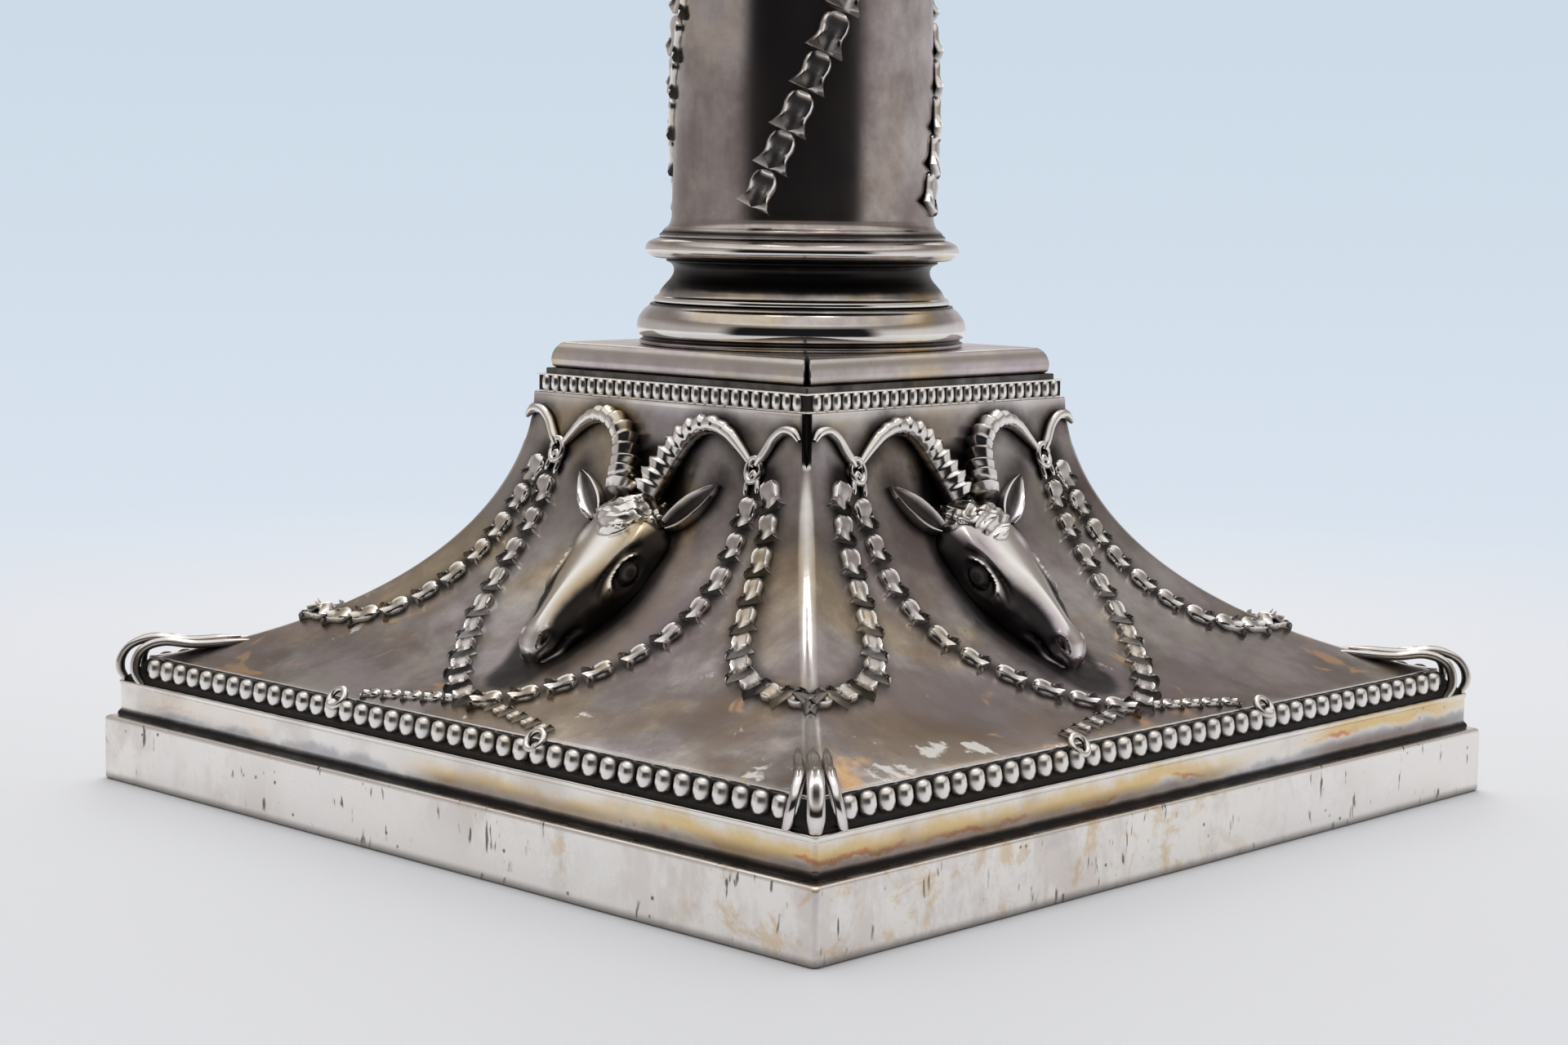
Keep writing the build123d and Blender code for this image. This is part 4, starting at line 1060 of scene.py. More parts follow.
class CANDLESTICK_OT_heads(Builder, bpy.types.Operator):
    """Build the horned head on each side: skull, ears, horns and the ribbon knots at the horns' tips"""
    bl_idname = "candlestick.heads"
    bl_label = "Horned heads"

    def build(self):
        halves = [self.horn(), self.ear(), self.knot()]
        head = joined([self.skull()] + halves + [mirrored(part) for part in halves])
        add_sides("horned_head_%s", head, "head", "ram_head_%s")

    def skull(self):
        """Rings along the head's axis; each is an oval whose sides flatten towards the muzzle.

        Eyes, lids, brows, cheeks, nostrils, mouth and forehead locks are added along the normal.
        """
        dip = math.radians(41.5)
        along = np.array([0, -math.cos(dip), -math.sin(dip)])
        lift = np.array([0, -math.sin(dip), math.cos(dip)])
        start = np.array([0, -26.3, 37.3]) * MM
        stations = np.array([-2.2, -1.6, 0.5, 3.5, 7.0, 10.5, 13.5, 16.5, 19.5, 22.0, 23.8, 24.9, 25.4])
        widths = np.array([1.2, 3.2, 5.3, 6.5, 6.9, 6.9, 6.4, 5.3, 4.2, 3.4, 2.95, 2.2, 0.9])
        heights = np.array([0.8, 2.3, 3.5, 4.1, 4.0, 4.1, 4.3, 4.35, 4.2, 3.9, 3.4, 2.5, 0.9])
        keen = np.array([0.0, 0.0, -0.2, -0.35, -0.35, -0.2, 0.05, 0.3, 0.35, 0.2, 0.0, 0.0, 0.0])
        s = np.concatenate([np.linspace(-2.2, 23.2, 150), np.linspace(23.35, 25.4, 26)])
        turn = np.linspace(-math.pi, math.pi, 160, endpoint=False)
        a, h, k = (smooth_line(np.stack([stations, column], -1), 900) for column in (widths, heights, keen))
        a, h, k = (np.interp(s, column[:, 0], column[:, 1])[:, None] for column in (a, h, k))
        side, top = np.sin(turn), np.cos(turn)
        x = a * np.sign(side) * abs(side) ** (1 + 0.8 * k)
        y = np.where(top > 0, h * abs(top) ** (1 - 0.2 * k), -2.2 * abs(top))
        quarter = 7.4
        u = abs(turn) / (math.pi / 2) * quarter
        s = s[:, None] + 0 * u
        eye_along, eye_round = 10.6, 5.0
        away = s - eye_along
        over = eye_round - u + 0.16 * away
        push = -1.05 * hill(np.hypot(away / 1.5, over), 1.9)
        ball = np.hypot(away / 1.35, over)
        push += 0.95 * clamped(1 - (ball / 1.3) ** 2) ** 0.6
        almond = np.hypot(away / (2.0 + 0.3 * np.sign(away)), over - 0.06 * away)
        above = clamped(1.5 * over / np.maximum(almond, 0.3) + 0.1) ** 1.5
        push += 0.75 * hill(almond - 1.55, 0.30) * (0.12 + 0.88 * above)
        push -= 0.35 * hill(almond - 2.25, 0.28) * above
        push += 0.65 * bump_at(s, u, 7.6, 2.6, 2.8, 0.75)
        push += 0.8 * bump_at(s, u, 5.2, 6.3, 2.6, 1.7)
        push += 0.35 * bump_at(s, u, 15.5, 5.2, 3.5, 1.0)
        push -= 0.35 * bump_at(s, u, 17.0, 3.4, 4.0, 1.1)
        push += 0.4 * bump_at(s, u, 22.6, 2.6, 1.5, 1.3)
        nostril = np.hypot((s - 23.2) * 0.8 + (u - 3.0) * 0.5, (u - 3.0) * 1.3)
        push -= 0.85 * hill(nostril, 0.5)
        push += 0.22 * hill(nostril - 1.05, 0.35)
        mouth = u - (6.0 - 0.9 * clamped((s - 20.5) / 4) - 0.3 * np.sin(s * 1.3))
        in_mouth = clamped((s - 19.0) / 1.0)
        push -= 0.5 * hill(mouth, 0.38) * in_mouth
        push += 0.25 * hill(mouth - 0.85, 0.5) * in_mouth
        fringe = 6.4 + 0.7 * np.cos(turn * 6.5) - 0.75 * u
        hair = clamped((fringe - s) / 0.5)
        locks = np.cos(turn * 11 + 1.4 * np.sin(s * 1.9)) * 0.5
        locks = locks + np.cos(turn * 23 + 2.2 * np.sin(s * 2.6 + 1)) * 0.28
        push += hair * (0.55 + 0.38 * locks + 0.22 * np.sin(s * 3.1 + 4 * np.sin(turn * 5.5)))
        fade = clamped((25.6 - s) / 1.2) * clamped((s + 2.4) / 0.8)
        push = push * fade * clamped((9.5 - u) / 2.0)
        size = np.hypot(x, np.maximum(y, 0.3)) + 1e-6
        x, y = x + push * x / size, y + push * np.maximum(y, 0.15) / size
        across = np.array([1.0, 0, 0])
        rings = start + MM * (s[..., None] * along + y[..., None] * lift + x[..., None] * across)
        hollow = clamped(-push * 0.9) + hair * clamped(-locks) * 0.8
        # low: painted shade on the head's flank below the ridge, eased on the lids and towards the muzzle's
        # tip.
        low = clamped((u - 1.5 - 1.8 * hill(s - 1.0, 4.5)) / 1.9)
        lids = hill(almond - 1.6, 0.32) * (0.15 + 0.85 * above) + 0.42 * np.exp(-(ball / 1.0) ** 4)
        low = low * (1 - 0.8 * clamped(lids)) * (1 - 0.5 * clamped((s - 22.0) / 1.5))
        # pupil: painted shade in the middle of the eyeball and in the crease round it.
        pupil = 0.45 * hill(ball - 0.1, 0.4) + 0.9 * hill(ball - 1.35, 0.16)
        tarnish_and_shade = clamped(hollow + 0.92 * low + pupil)
        # Bright along the top ridge, on the lids and on raised parts: rubbed high points and painted
        # highlights.
        polish_and_highlight = clamped(hill(u, 1.3) + 0.8 * clamped(lids) + 0.5 * clamped(push)) * (1 - tarnish_and_shade)
        return ring_skin(rings, tarnish_and_shade, polish_and_highlight)

    def horn(self):
        """A tapering tube on its line; rings stand up on the outer curve and fade towards the tip."""
        line = smooth_line(HORN, 150)
        v = np.linspace(0, 1, len(line))
        radius = MM * np.interp(v, [0, 0.1, 0.4, 0.8, 0.97, 1], [1.7, 1.8, 1.45, 0.85, 0.5, 0.25])
        path, normal = on_side(line[:, 0], line[:, 1], radius * 0.75 + 0.9 * MM * clamped(1 - 3 * v))
        turn = circle(28)
        outer = 0.5 + 0.5 * np.cos(turn - math.pi)
        growth_rings = 14
        saw = (v * growth_rings) % 1.0
        wave = np.where(saw < 0.7, saw / 0.7, (1 - saw) / 0.3)
        strength = np.interp(v, [0, 0.55, 0.8], [1, 0.6, 0])[:, None]
        grow = 0.62 * wave[:, None] * (0.08 + 0.92 * outer ** 1.5) * strength
        rings = tube(path, normal, radius[:, None] * (0.9 + grow), len(turn), 1.05)
        # The valleys between the rings are darkened as tarnish and shade; the horn's underside is painted
        # shade and its top carries a painted highlight.
        valley = np.interp(v, [0, 0.6, 0.8], [1, 0.7, 0])[:, None] * (1 - wave)[:, None]
        valley = valley * (0.1 + 0.9 * outer ** 1.5)
        under = clamped(-np.sin(turn))[None] ** 0.7
        tarnish_and_shade = clamped(0.38 * valley + 0.9 * under)
        return ring_skin(rings, tarnish_and_shade, clamped(np.sin(turn)) * (1 - tarnish_and_shade) * 0.9)

    def ear(self):
        """A pointed leaf: its rim stands up round a deep hollow, and its underside is flat."""
        line = smooth_line(EAR, 40)
        v = np.linspace(0, 1, len(line))
        half = 1.7 * MM * np.clip(np.sin(math.pi * (0.10 + 0.9 * v) ** 0.85), 0.02, 1) ** 0.8
        side_way = square_to(line)
        u = np.linspace(-1, 1, 25)
        top = 1.5 - 1.15 * (1 - abs(u) ** 2.2) - 0.5 * clamped(abs(u) - 0.86) / 0.14
        lift = np.interp(v, [0, 0.5, 1], [1.0, 0.9, 0.35])
        flat = line[:, None] + (half[:, None] * u)[..., None] * side_way[:, None]
        upper, _ = on_side(flat[..., 0], flat[..., 1], MM * (0.35 + lift[:, None] * top))
        lower, _ = on_side(flat[:, ::-1, 0], flat[:, ::-1, 1], -0.25 * MM)
        rings = np.concatenate([upper, lower], 1)
        # The hollow is darkened as tarnish and shade; the flat underside is painted dark as shade; the rim
        # carries a painted highlight.
        hollow = 0.8 * clamped(1.9 - 2.3 * abs(u))
        tarnish_and_shade = np.concatenate([np.tile(hollow, (len(v), 1)), np.ones(lower.shape[:2])], 1)
        polish_and_highlight = np.concatenate([np.tile(hill(abs(u) - 0.86, 0.1), (len(v), 1)),
                              np.zeros(lower.shape[:2])], 1)
        return ring_skin(rings, tarnish_and_shade, polish_and_highlight)

    def knot(self):
        """The bow where a horn's tip meets the garlands: a ring, two tails and the arch to the corner."""
        parts = []
        around = np.linspace(0, 2 * math.pi, 25)
        loop = KNOT + MM * np.stack([1.1 * np.cos(around), 1.5 * np.sin(around)], -1)
        tails = [KNOT + MM * np.array(tail) for tail in ([(0, 0), (-0.7, 1.6), (-0.5, 3.2)],
                                                         [(0, 0), (0.9, 1.3), (1.3, 2.8)])]
        lines = [(loop, 0.42, 0.5)] + [(tail, 0.36, 0.4) for tail in tails] + [(RIBBON_ARCH, 0.62, 0.55)]
        for line, radius, proud in lines:
            flat = smooth_line(line, 30)
            v = np.linspace(0, 1, len(flat))
            taper = MM * radius * np.interp(v, [0, 0.12, 0.85, 1], [0.6, 1, 1, 0.5])
            path, normal = on_side(flat[:, 0], flat[:, 1], proud * MM)
            rings = tube(path, normal, taper, 10)
            # Painted shade on each tube's underside, painted highlight on its top.
            height = np.sin(circle(10))
            parts.append(ring_skin(rings, clamped(-height), clamped(height)))
        return joined(parts)


# ---- garlands of husks -------------------------------------------------------------------------
def husk():
    """One bell-shaped husk, a unit long along -y from its round crown to its three tips.

    It has a dome, a waist and a flared mouth, and a raised outline round a sunk bell with three petals.
    """
    v = np.array([0.0, 0.04, 0.12, 0.24, 0.40, 0.56, 0.70, 0.84, 1.0])
    u = np.array([-1.0, -0.93, -0.80, -0.62, -0.36, 0.0, 0.36, 0.62, 0.80, 0.93, 1.0])
    half = np.array([0.05, 0.17, 0.26, 0.31, 0.32, 0.29, 0.30, 0.36, 0.45])[:, None]
    tips = np.array([1.0, 0.98, 0.90, 0.70, 0.86, 1.0, 0.86, 0.70, 0.90, 0.98, 1.0])
    down = v[:, None] * (1 - (1 - tips) * v[:, None] ** 2.5)
    dome = np.array([0.10, 0.18, 0.25, 0.28, 0.27, 0.25, 0.26, 0.31, 0.34])[:, None]
    edge = np.array([0.15, 0.75, 1.0, 0.86, 0.80, 0.88, 0.80, 0.86, 1.0, 0.75, 0.15])
    bowl = np.array([0.15, 0.55, 0.80, 0.93, 1.0, 1.05, 1.0, 0.93, 0.80, 0.55, 0.15])
    mouth = clamped((v[:, None] - 0.45) / 0.4)
    cleft = mouth * np.array([0.2, 0, 0, 0.55, 0.25, 0, 0.25, 0.55, 0, 0, 0.2])
    z = dome * (edge * 0.7 + bowl * 0.3) * (1 - cleft)
    top = np.stack([half * u, -down, z], -1)
    wall = np.stack([half[:, 0], -down[:, -1], 0 * v - 0.06], -1)[:, None]
    rings = np.concatenate([wall * [-1, 1, 1], top, wall], 1)
    # Bright on the raised outline, the middle petal and the crown: rubbed and painted highlights; dark in the
    # clefts, over the sunk bell and on the walls underneath: tarnish and painted shade.
    ridge = hill(abs(u) - 0.8, 0.16) + mouth * hill(u, 0.2)
    bright = clamped(ridge + hill(v[:, None] - 0.06, 0.07))
    dark = clamped(1.1 * cleft + 0.22 * (1 - bright) * (v[:, None] > 0.1))
    dark, bright = (np.pad(mask, ((0, 0), (1, 1)), constant_values=fill)
                    for mask, fill in ((dark, 1.0), (bright, 0.0)))
    return ring_skin(rings, dark, bright)


def husks_along(path, normals, size, pitch, wide, high):
    """Husks at even steps down a path, each on the surface and pointing the way the path goes.

    `wide` and `high` stretch a husk across the path and off the surface.
    """
    run = run_along(path)
    count = max(2, int(round(run[-1] / pitch)))
    at = (np.arange(count) + 0.15) / count * run[-1]
    origin, normal, along = (np.stack([np.interp(at, run, values[:, i]) for i in range(3)], -1)
                             for values in (path, normals, np.gradient(path, run, axis=0)))
    along = normalised(along)
    normal = normalised(normal - (normal * along).sum(1, keepdims=True) * along)
    axes = np.stack([wide * np.cross(-along, normal), -along, high * normal], 1)
    rng = np.random.default_rng(count)
    return scattered(husk(), origin, axes, size * rng.uniform(0.94, 1.05, count))


class CANDLESTICK_OT_garlands(Builder, bpy.types.Operator):
    """Build the garlands of husks on the swept sides and the four that wind round the column"""
    bl_idname = "candlestick.garlands"
    bl_label = "Husk garlands"

    def build(self):
        h = settings("husks")
        chains = []
        for line, size, pitch in ((FESTOON, 1, 1), (CORNER_LOOP, 1, 1), (DROP, 0.62, 0.72)):
            flat = smooth_line(line, 160)
            path, normal = on_side(flat[:, 0], flat[:, 1], 0.05 * MM)
            chains.append(husks_along(path, normal, size * h.base_length, pitch * h.base_pitch, 1.12, 0.85))
        half = joined(chains)
        side = joined([half, mirrored(half)])
        add_piece("foot_garlands", round_axis(side), "cast")
        foot_gap, neck_gap, proud = 4.4 * MM, 3.0 * MM, 0.03 * MM
        low, high = SHAFT_LOW + foot_gap, SHAFT_TOP - neck_gap
        z = np.linspace(high, low, 900)
        angle = np.radians(h.start_turn + h.twist * (z - low) / MM)
        r = shaft_radius(z) + proud
        path = np.stack([r * np.cos(angle), r * np.sin(angle), z], -1)
        normal = np.stack([np.cos(angle), np.sin(angle), 0 * z], -1)
        chain = husks_along(path, normal, h.column_length, h.column_pitch, 1.10, 0.58)
        add_piece("column_garlands", round_axis(chain), "cast")


# ---- plinth and column -------------------------------------------------------------------------
SHAFT_FOOT, SHAFT_TAPER, SHAFT_FLARE = 16.85 * MM, 0.02, 2.5 * MM


def shaft_radius(z):
    """Outer radius of the tapered part of the shaft."""
    return SHAFT_FOOT - SHAFT_TAPER * (z - SHAFT_LOW - SHAFT_FLARE)


class CANDLESTICK_OT_plinth(Builder, bpy.types.Operator):
    """Build the plinth and the cap plate with its half-round edges"""
    bl_idname = "candlestick.plinth"
    bl_label = "Plinth and cap plate"

    def build(self):
        half, low, top = HIGH["plinth"][0], LOW["plinth"][2], HIGH["plinth"][2]
        hole = 3.2 * MM
        outline = rounded([(half, low), (half, top), (hole, top), (hole, low)], 0.15 * MM, 4)
        # The plinth is darkened all over: painted shade under the cap and behind its beads.
        add_piece("plinth_finished", loop_skin(square_ring(outline, 0.3 * MM, 12), 0.75), "satin", "plinth")
        half, low = HIGH["cap_plate"][0], LOW["cap_plate"][2]
        middle, depth, reach = low + 1.0 * MM, CAP_TOP - low - 1.0 * MM, 1.5 * MM
        swell = np.linspace(0, 0.5, 14) * math.pi
        edge = np.stack([half - reach + reach * np.cos(swell), middle + depth * np.sin(swell)], -1)
        foot = [(half - 0.5 * MM, low), (half - 0.1 * MM, low + 0.35 * MM)]
        rest = [(hole + 1 * MM, CAP_TOP), (hole, CAP_TOP), (hole, low), (hole + 1 * MM, low)]
        edge = np.concatenate([foot, edge, rest])
        points = square_ring(edge, 0.7 * MM, 40)
        z, flat = points[..., 2], points[..., :2]
        off = abs(abs(flat[..., 0]) - abs(flat[..., 1]))
        slot = np.exp(-(off / (0.42 * MM)) ** 4) * (np.max(abs(flat), -1) > half - 2.2 * MM)
        points[..., :2] *= (1 - 0.05 * slot)[..., None]
        # A bright band along the swell of the edge: rubbed and a painted highlight.
        edge_polish_and_highlight = 0.45 * hill(z - middle - 1.4 * MM, 0.6 * MM) * (np.max(abs(flat), -1) > half - 1.5 * MM)
        near_column = hill(np.hypot(*np.moveaxis(flat, -1, 0)) - 20.9 * MM, 0.9 * MM)
        # Dark in the mitre slot, painted shade, and round the column's foot, painted shade between parts and
        # tarnish.
        tarnish_and_shade = np.maximum(slot, 0.8 * near_column)
        add_piece("cap_plate_finished", loop_skin(points, tarnish_and_shade, edge_polish_and_highlight), "cap", "cap_plate")


class CANDLESTICK_OT_column(Builder, bpy.types.Operator):
    """Build the three turned rings at the column's foot, the shaft and the ring at its neck"""
    bl_idname = "candlestick.column"
    bl_label = "Column"

    def build(self):
        z = CAP_TOP
        torus = [(20.3, 0), (20.75, 0.12), (20.85, 0.5), (20.45, 0.72), (20.5, 0.95), (20.95, 1.25),
                 (21.17, 1.9), (21.17, 2.6), (20.98, 3.35), (20.6, 3.95), (20.15, 4.5), (19.6, 4.95),
                 (19.45, 5.2), (19.0, 5.24)]
        self.ring("column_lower_torus", torus, 14.5, dark=[(0.72, 0.25), (5.24, 0.3)])
        spool = [(18.6, 0), (18.98, 0.15), (18.98, 0.7), (18.5, 1.0), (18.1, 1.7), (17.45, 2.5), (16.85, 3.2),
                 (16.52, 3.9), (16.55, 4.6), (16.95, 5.1), (17.5, 5.4), (17.4, 5.68)]
        self.ring("column_scotia", spool, 14.5, dark=[(2.6, 1.3), (4.4, 1.0), (5.6, 0.4)])
        ring = [(17.8, 0), (18.9, 0.1), (19.75, 0.5), (20.15, 1.05), (20.15, 1.45), (19.85, 2.0),
                (19.3, 2.35), (18.7, 2.55), (18.2, 2.68)]
        self.ring("column_upper_ring", ring, 14.5, dark=[(0.0, 0.35), (2.7, 0.25)])
        self.shaft()
        neck = [(14.0, 0), (14.9, 0.25), (15.25, 0.9), (15.3, 1.5), (15.1, 2.2), (14.6, 2.75), (14.35, 3.0)]
        self.ring("neck_ring", neck, 12.5, dark=[(0.0, 0.3), (3.0, 0.3)])

    def ring(self, node, outline, inner, dark):
        """A turned ring: a smooth line through (radius, height above its seat) points, in millimetres."""
        seat = LOW[node][2]
        top = HIGH[node][2] - seat
        points = np.array(outline, float) * MM
        points[:, 1] = np.minimum(points[:, 1], top)
        skin = smooth_line(points, 70)
        inside = np.array([(inner * MM, skin[-1, 1]), (inner * MM, skin[0, 1])])
        full = np.concatenate([skin, inside])
        height = full[:, 1]
        # The dark list gives (height, reach) bands painted darker: painted shade and dark reflections in the
        # throats and under the rolls, with tarnish.
        tarnish_and_shade = sum(hill(height - level * MM, reach * MM) for level, reach in dark)
        # The outermost swell is painted bright: rubbed and a painted highlight.
        swell = clamped((full[:, 0] - 0.985 * full[:, 0].max()) / (0.015 * full[:, 0].max()))
        rings = lathe(full + [0, seat])
        skin = loop_skin(rings, clamped(tarnish_and_shade)[:, None], 0.8 * swell[:, None])
        add_piece(node + "_finished", skin, "ring", node)

    def shaft(self):
        """The shaft's tube: a small fillet and flare at its foot, then a straight taper."""
        flare = np.array([(18.35, 0.0), (18.4, 0.35), (18.1, 0.55), (17.95, 0.8), (17.7, 1.1), (17.35, 1.35),
                          (17.05, 1.8), (16.9, 2.3)]) * MM
        flare = smooth_line(flare, 30) + [0, SHAFT_LOW]
        z = np.linspace(SHAFT_LOW + SHAFT_FLARE, SHAFT_TOP, 130)
        outer = np.concatenate([flare, np.stack([shaft_radius(z), z], -1)])
        wall = 0.8 * MM
        inner = np.array([(shaft_radius(SHAFT_TOP) - wall, SHAFT_TOP), (SHAFT_FOOT - wall, SHAFT_LOW)])
        outline = np.concatenate([outer, inner])
        rings = uneven(lathe(outline), 14 * MM, 0.035 * MM)
        # Darker at the shaft's foot and top, where it meets the rings: tarnish in the joints and painted
        # shade.
        dark = hill(outline[:, 1] - SHAFT_LOW - 0.6 * MM, 0.35 * MM)
        dark += 0.8 * hill(outline[:, 1] - SHAFT_TOP, 0.8 * MM)
        add_piece("column_shaft_finished", loop_skin(rings, clamped(dark)[:, None]), "column", "column_shaft")


# ---- capital -----------------------------------------------------------------------------------
BELL_FOOT, BELL_LIP = 14.2 * MM, 17.8 * MM


def bell_radius(z):
    """Radius of the bell: nearly upright, then flaring to its lip."""
    v = clamped((z - NECK_TOP) / (BELL_TOP - NECK_TOP))
    return np.interp(v, [0, 0.35, 0.7, 0.9, 1], [BELL_FOOT, BELL_FOOT + 0.3 * MM, BELL_FOOT + 1.2 * MM,
                                                 BELL_LIP - 0.9 * MM, BELL_LIP])


class CANDLESTICK_OT_capital(Builder, bpy.types.Operator):
    """Build the capital: bell, two rows of leaves, corner scrolls, abacus and its flowers"""
    bl_idname = "candlestick.capital"
    bl_label = "Capital"

    def build(self):
        z = np.linspace(NECK_TOP, BELL_TOP, 60)
        outer = np.stack([bell_radius(z), z], -1)
        inner = np.array([(13.0 * MM, BELL_TOP), (13.0 * MM, NECK_TOP)])
        # The bell is darkened all over: painted shade behind the leaves.
        bell = loop_skin(lathe(np.concatenate([outer, inner]), 120), 0.7)
        add_piece("capital_bell_finished", bell, "satin", "capital_bell")
        low = self.leaf(NECK_TOP, 14.5 * MM, 4.4 * MM, 5.2 * MM)
        add_piece("lower_leaves_finished", round_axis(low, 8, 22.5), "cast", "lower_leaves")
        high = self.leaf(NECK_TOP + 3 * MM, 22.0 * MM, 5.6 * MM, 5.0 * MM)
        add_piece("upper_leaves_finished", round_axis(high, 8), "cast", "upper_leaves")
        add_piece("corner_volutes_finished", round_axis(self.scroll(), 4, 45), "cast", "corner_volutes")
        add_piece("abacus_finished", self.abacus(), "satin", "abacus")
        add_piece("abacus_flowers_finished", round_axis(self.flower()), "cast", "abacus_flowers")

    def leaf(self, start, tall, reach, half_width):
        """An acanthus leaf on the +X side: it climbs the bell and its tip curls out and down.

        Its edge is cut into lobes; ribs fan from the middle; it is as thick as stamped sheet.
        """
        v = np.linspace(0, 1, 64)
        z = start + tall * np.interp(v, [0, 0.4, 0.7, 0.84, 0.93, 1], [0, 0.52, 0.88, 1.0, 0.98, 0.86])
        out = np.interp(v, [0, 0.4, 0.62, 0.76, 0.88, 1], [0.35 * MM, 0.5 * MM, 0.26 * reach, 0.52 * reach,
                                                           0.84 * reach, reach])
        spine = smooth_line(np.stack([bell_radius(np.minimum(z, start + 0.7 * tall)) + out, z], -1)[::3], 64)
        normal = square_to(spine)
        u = np.linspace(-1, 1, 33)
        lobes = 5.5
        cuts = 0.26 * (0.5 + 0.5 * np.cos(v * 2 * math.pi * lobes)) ** 2
        cuts = cuts * np.interp(v, [0, 0.08, 0.9, 1], [0, 1, 1, 0.3])
        half = np.interp(v, [0, 0.3, 0.62, 0.80, 0.93, 1], [0.74, 1.0, 1.04, 0.92, 0.66, 0.30])
        half = half_width * half * (1 - cuts)
        phase = lobes * (v[:, None] - 0.20 * abs(u))
        ribs = 0.24 * MM * np.cos(2 * math.pi * phase + math.pi) * abs(u) ** 0.7 * (1 - 0.3 * abs(u))
        mid = 0.45 * MM * hill(u, 0.12) * np.interp(v, [0, 0.9, 1], [1, 0.8, 0.2])[:, None]
        beside = -0.22 * MM * hill(abs(u) - 0.26, 0.10)
        cup = -0.50 * MM * u ** 2 * np.interp(v, [0, 0.6, 1], [0.2, 0.8, 1.8])[:, None]
        height = ribs + mid + cup + beside + 0.25 * MM
        y = half[:, None] * u
        wrap = (y ** 2) / (2 * BELL_FOOT)
        sides = []
        sheet = 0.6 * MM
        for offset in (height, height - sheet):
            r = spine[:, 0, None] + normal[:, 0, None] * offset - wrap
            sides.append(np.stack([r, y, spine[:, 1, None] + normal[:, 1, None] * offset], -1))
        front, rear = sides
        # Dark in the grooves, darker towards the leaf's foot and on its back: tarnish and painted shade;
        # bright on the ribs, the middle and the edge: rubbed and painted highlights.
        groove = clamped(-ribs / (0.2 * MM))
        polish_and_highlight = clamped(np.maximum(mid / (0.45 * MM), ribs / (0.25 * MM)))
        edge = hill(abs(u) - 1, 0.08)
        tarnish_and_shade = np.concatenate([0.75 * groove + 0.35 * (1 - v[:, None]), 0.45 + 0 * y], 1)
        polish_and_highlight = np.concatenate([np.maximum(polish_and_highlight, 0.6 * edge), np.zeros(y.shape)], 1)
        return ring_skin(np.concatenate([front, rear[:, ::-1]], 1), clamped(tarnish_and_shade), polish_and_highlight)

    def scroll(self):
        """A scroll in the XZ plane: a channelled strap that rises from the bell and winds in on itself."""
        centre = np.array([25.3 * MM, BELL_TOP - 4.2 * MM])
        turns = 2.25
        wind = np.linspace(0, turns * 2 * math.pi, 110)
        radius = 3.7 * MM * (1 - 0.80 * wind / wind[-1])
        coil = centre + radius[:, None] * np.stack([np.sin(wind), np.cos(wind)], -1)
        stalk = np.array([(15.4 * MM, BELL_TOP - 15 * MM), (17.0 * MM, BELL_TOP - 8 * MM),
                          (20.0 * MM, BELL_TOP - 2.6 * MM), tuple(coil[0])])
        line = np.concatenate([smooth_line(stalk, 40)[:-1], coil])
        run = np.linspace(0, 1, len(line))
        half = MM * np.interp(run, [0, 0.15, 0.5, 1], [0.7, 1.3, 1.55, 1.2])
        normal = square_to(line)
        across = np.array([-1, -0.8, -0.6, -0.3, 0, 0.3, 0.6, 0.8, 1])
        rise = np.array([0.0, 0.42, 0.36, 0.12, 0.08, 0.12, 0.36, 0.42, 0.0]) * MM
        top = line[:, None] - normal[:, None] * rise[None, :, None]
        low = (line[:, None] + normal[:, None] * (0.35 * MM + 0 * rise)[None, :, None])[:, ::-1]
        y = half[:, None] * across
        rings = np.concatenate([np.stack([top[..., 0], y, top[..., 1]], -1),
                                np.stack([low[..., 0], y[:, ::-1], low[..., 1]], -1)], 1)
        # Dark in the channel and on the strap's underside, tarnish and painted shade; bright on its raised
        # edges and all over its eye: rubbed and painted highlights.
        hollow = clamped(1 - rise / (0.3 * MM)) * 0.7
        tarnish_and_shade = np.concatenate([hollow, 0.3 + 0 * hollow])
        polish_and_highlight = np.concatenate([rise / rise.max(), 0 * rise])
        strap_shape = ring_skin(rings, tarnish_and_shade, polish_and_highlight)
        lat = np.linspace(-0.9, 0.9, 8) * math.pi / 2
        lon = circle(16)
        length_way = 1.9 * np.repeat(np.sin(lat)[:, None], len(lon), 1)
        eye = MM * np.stack([np.outer(np.cos(lat), np.cos(lon)), length_way,
                             np.outer(np.cos(lat), np.sin(lon))], -1)
        return joined([strap_shape, ring_skin(eye + [centre[0], 0, centre[1]], 0.1, 0.7)])

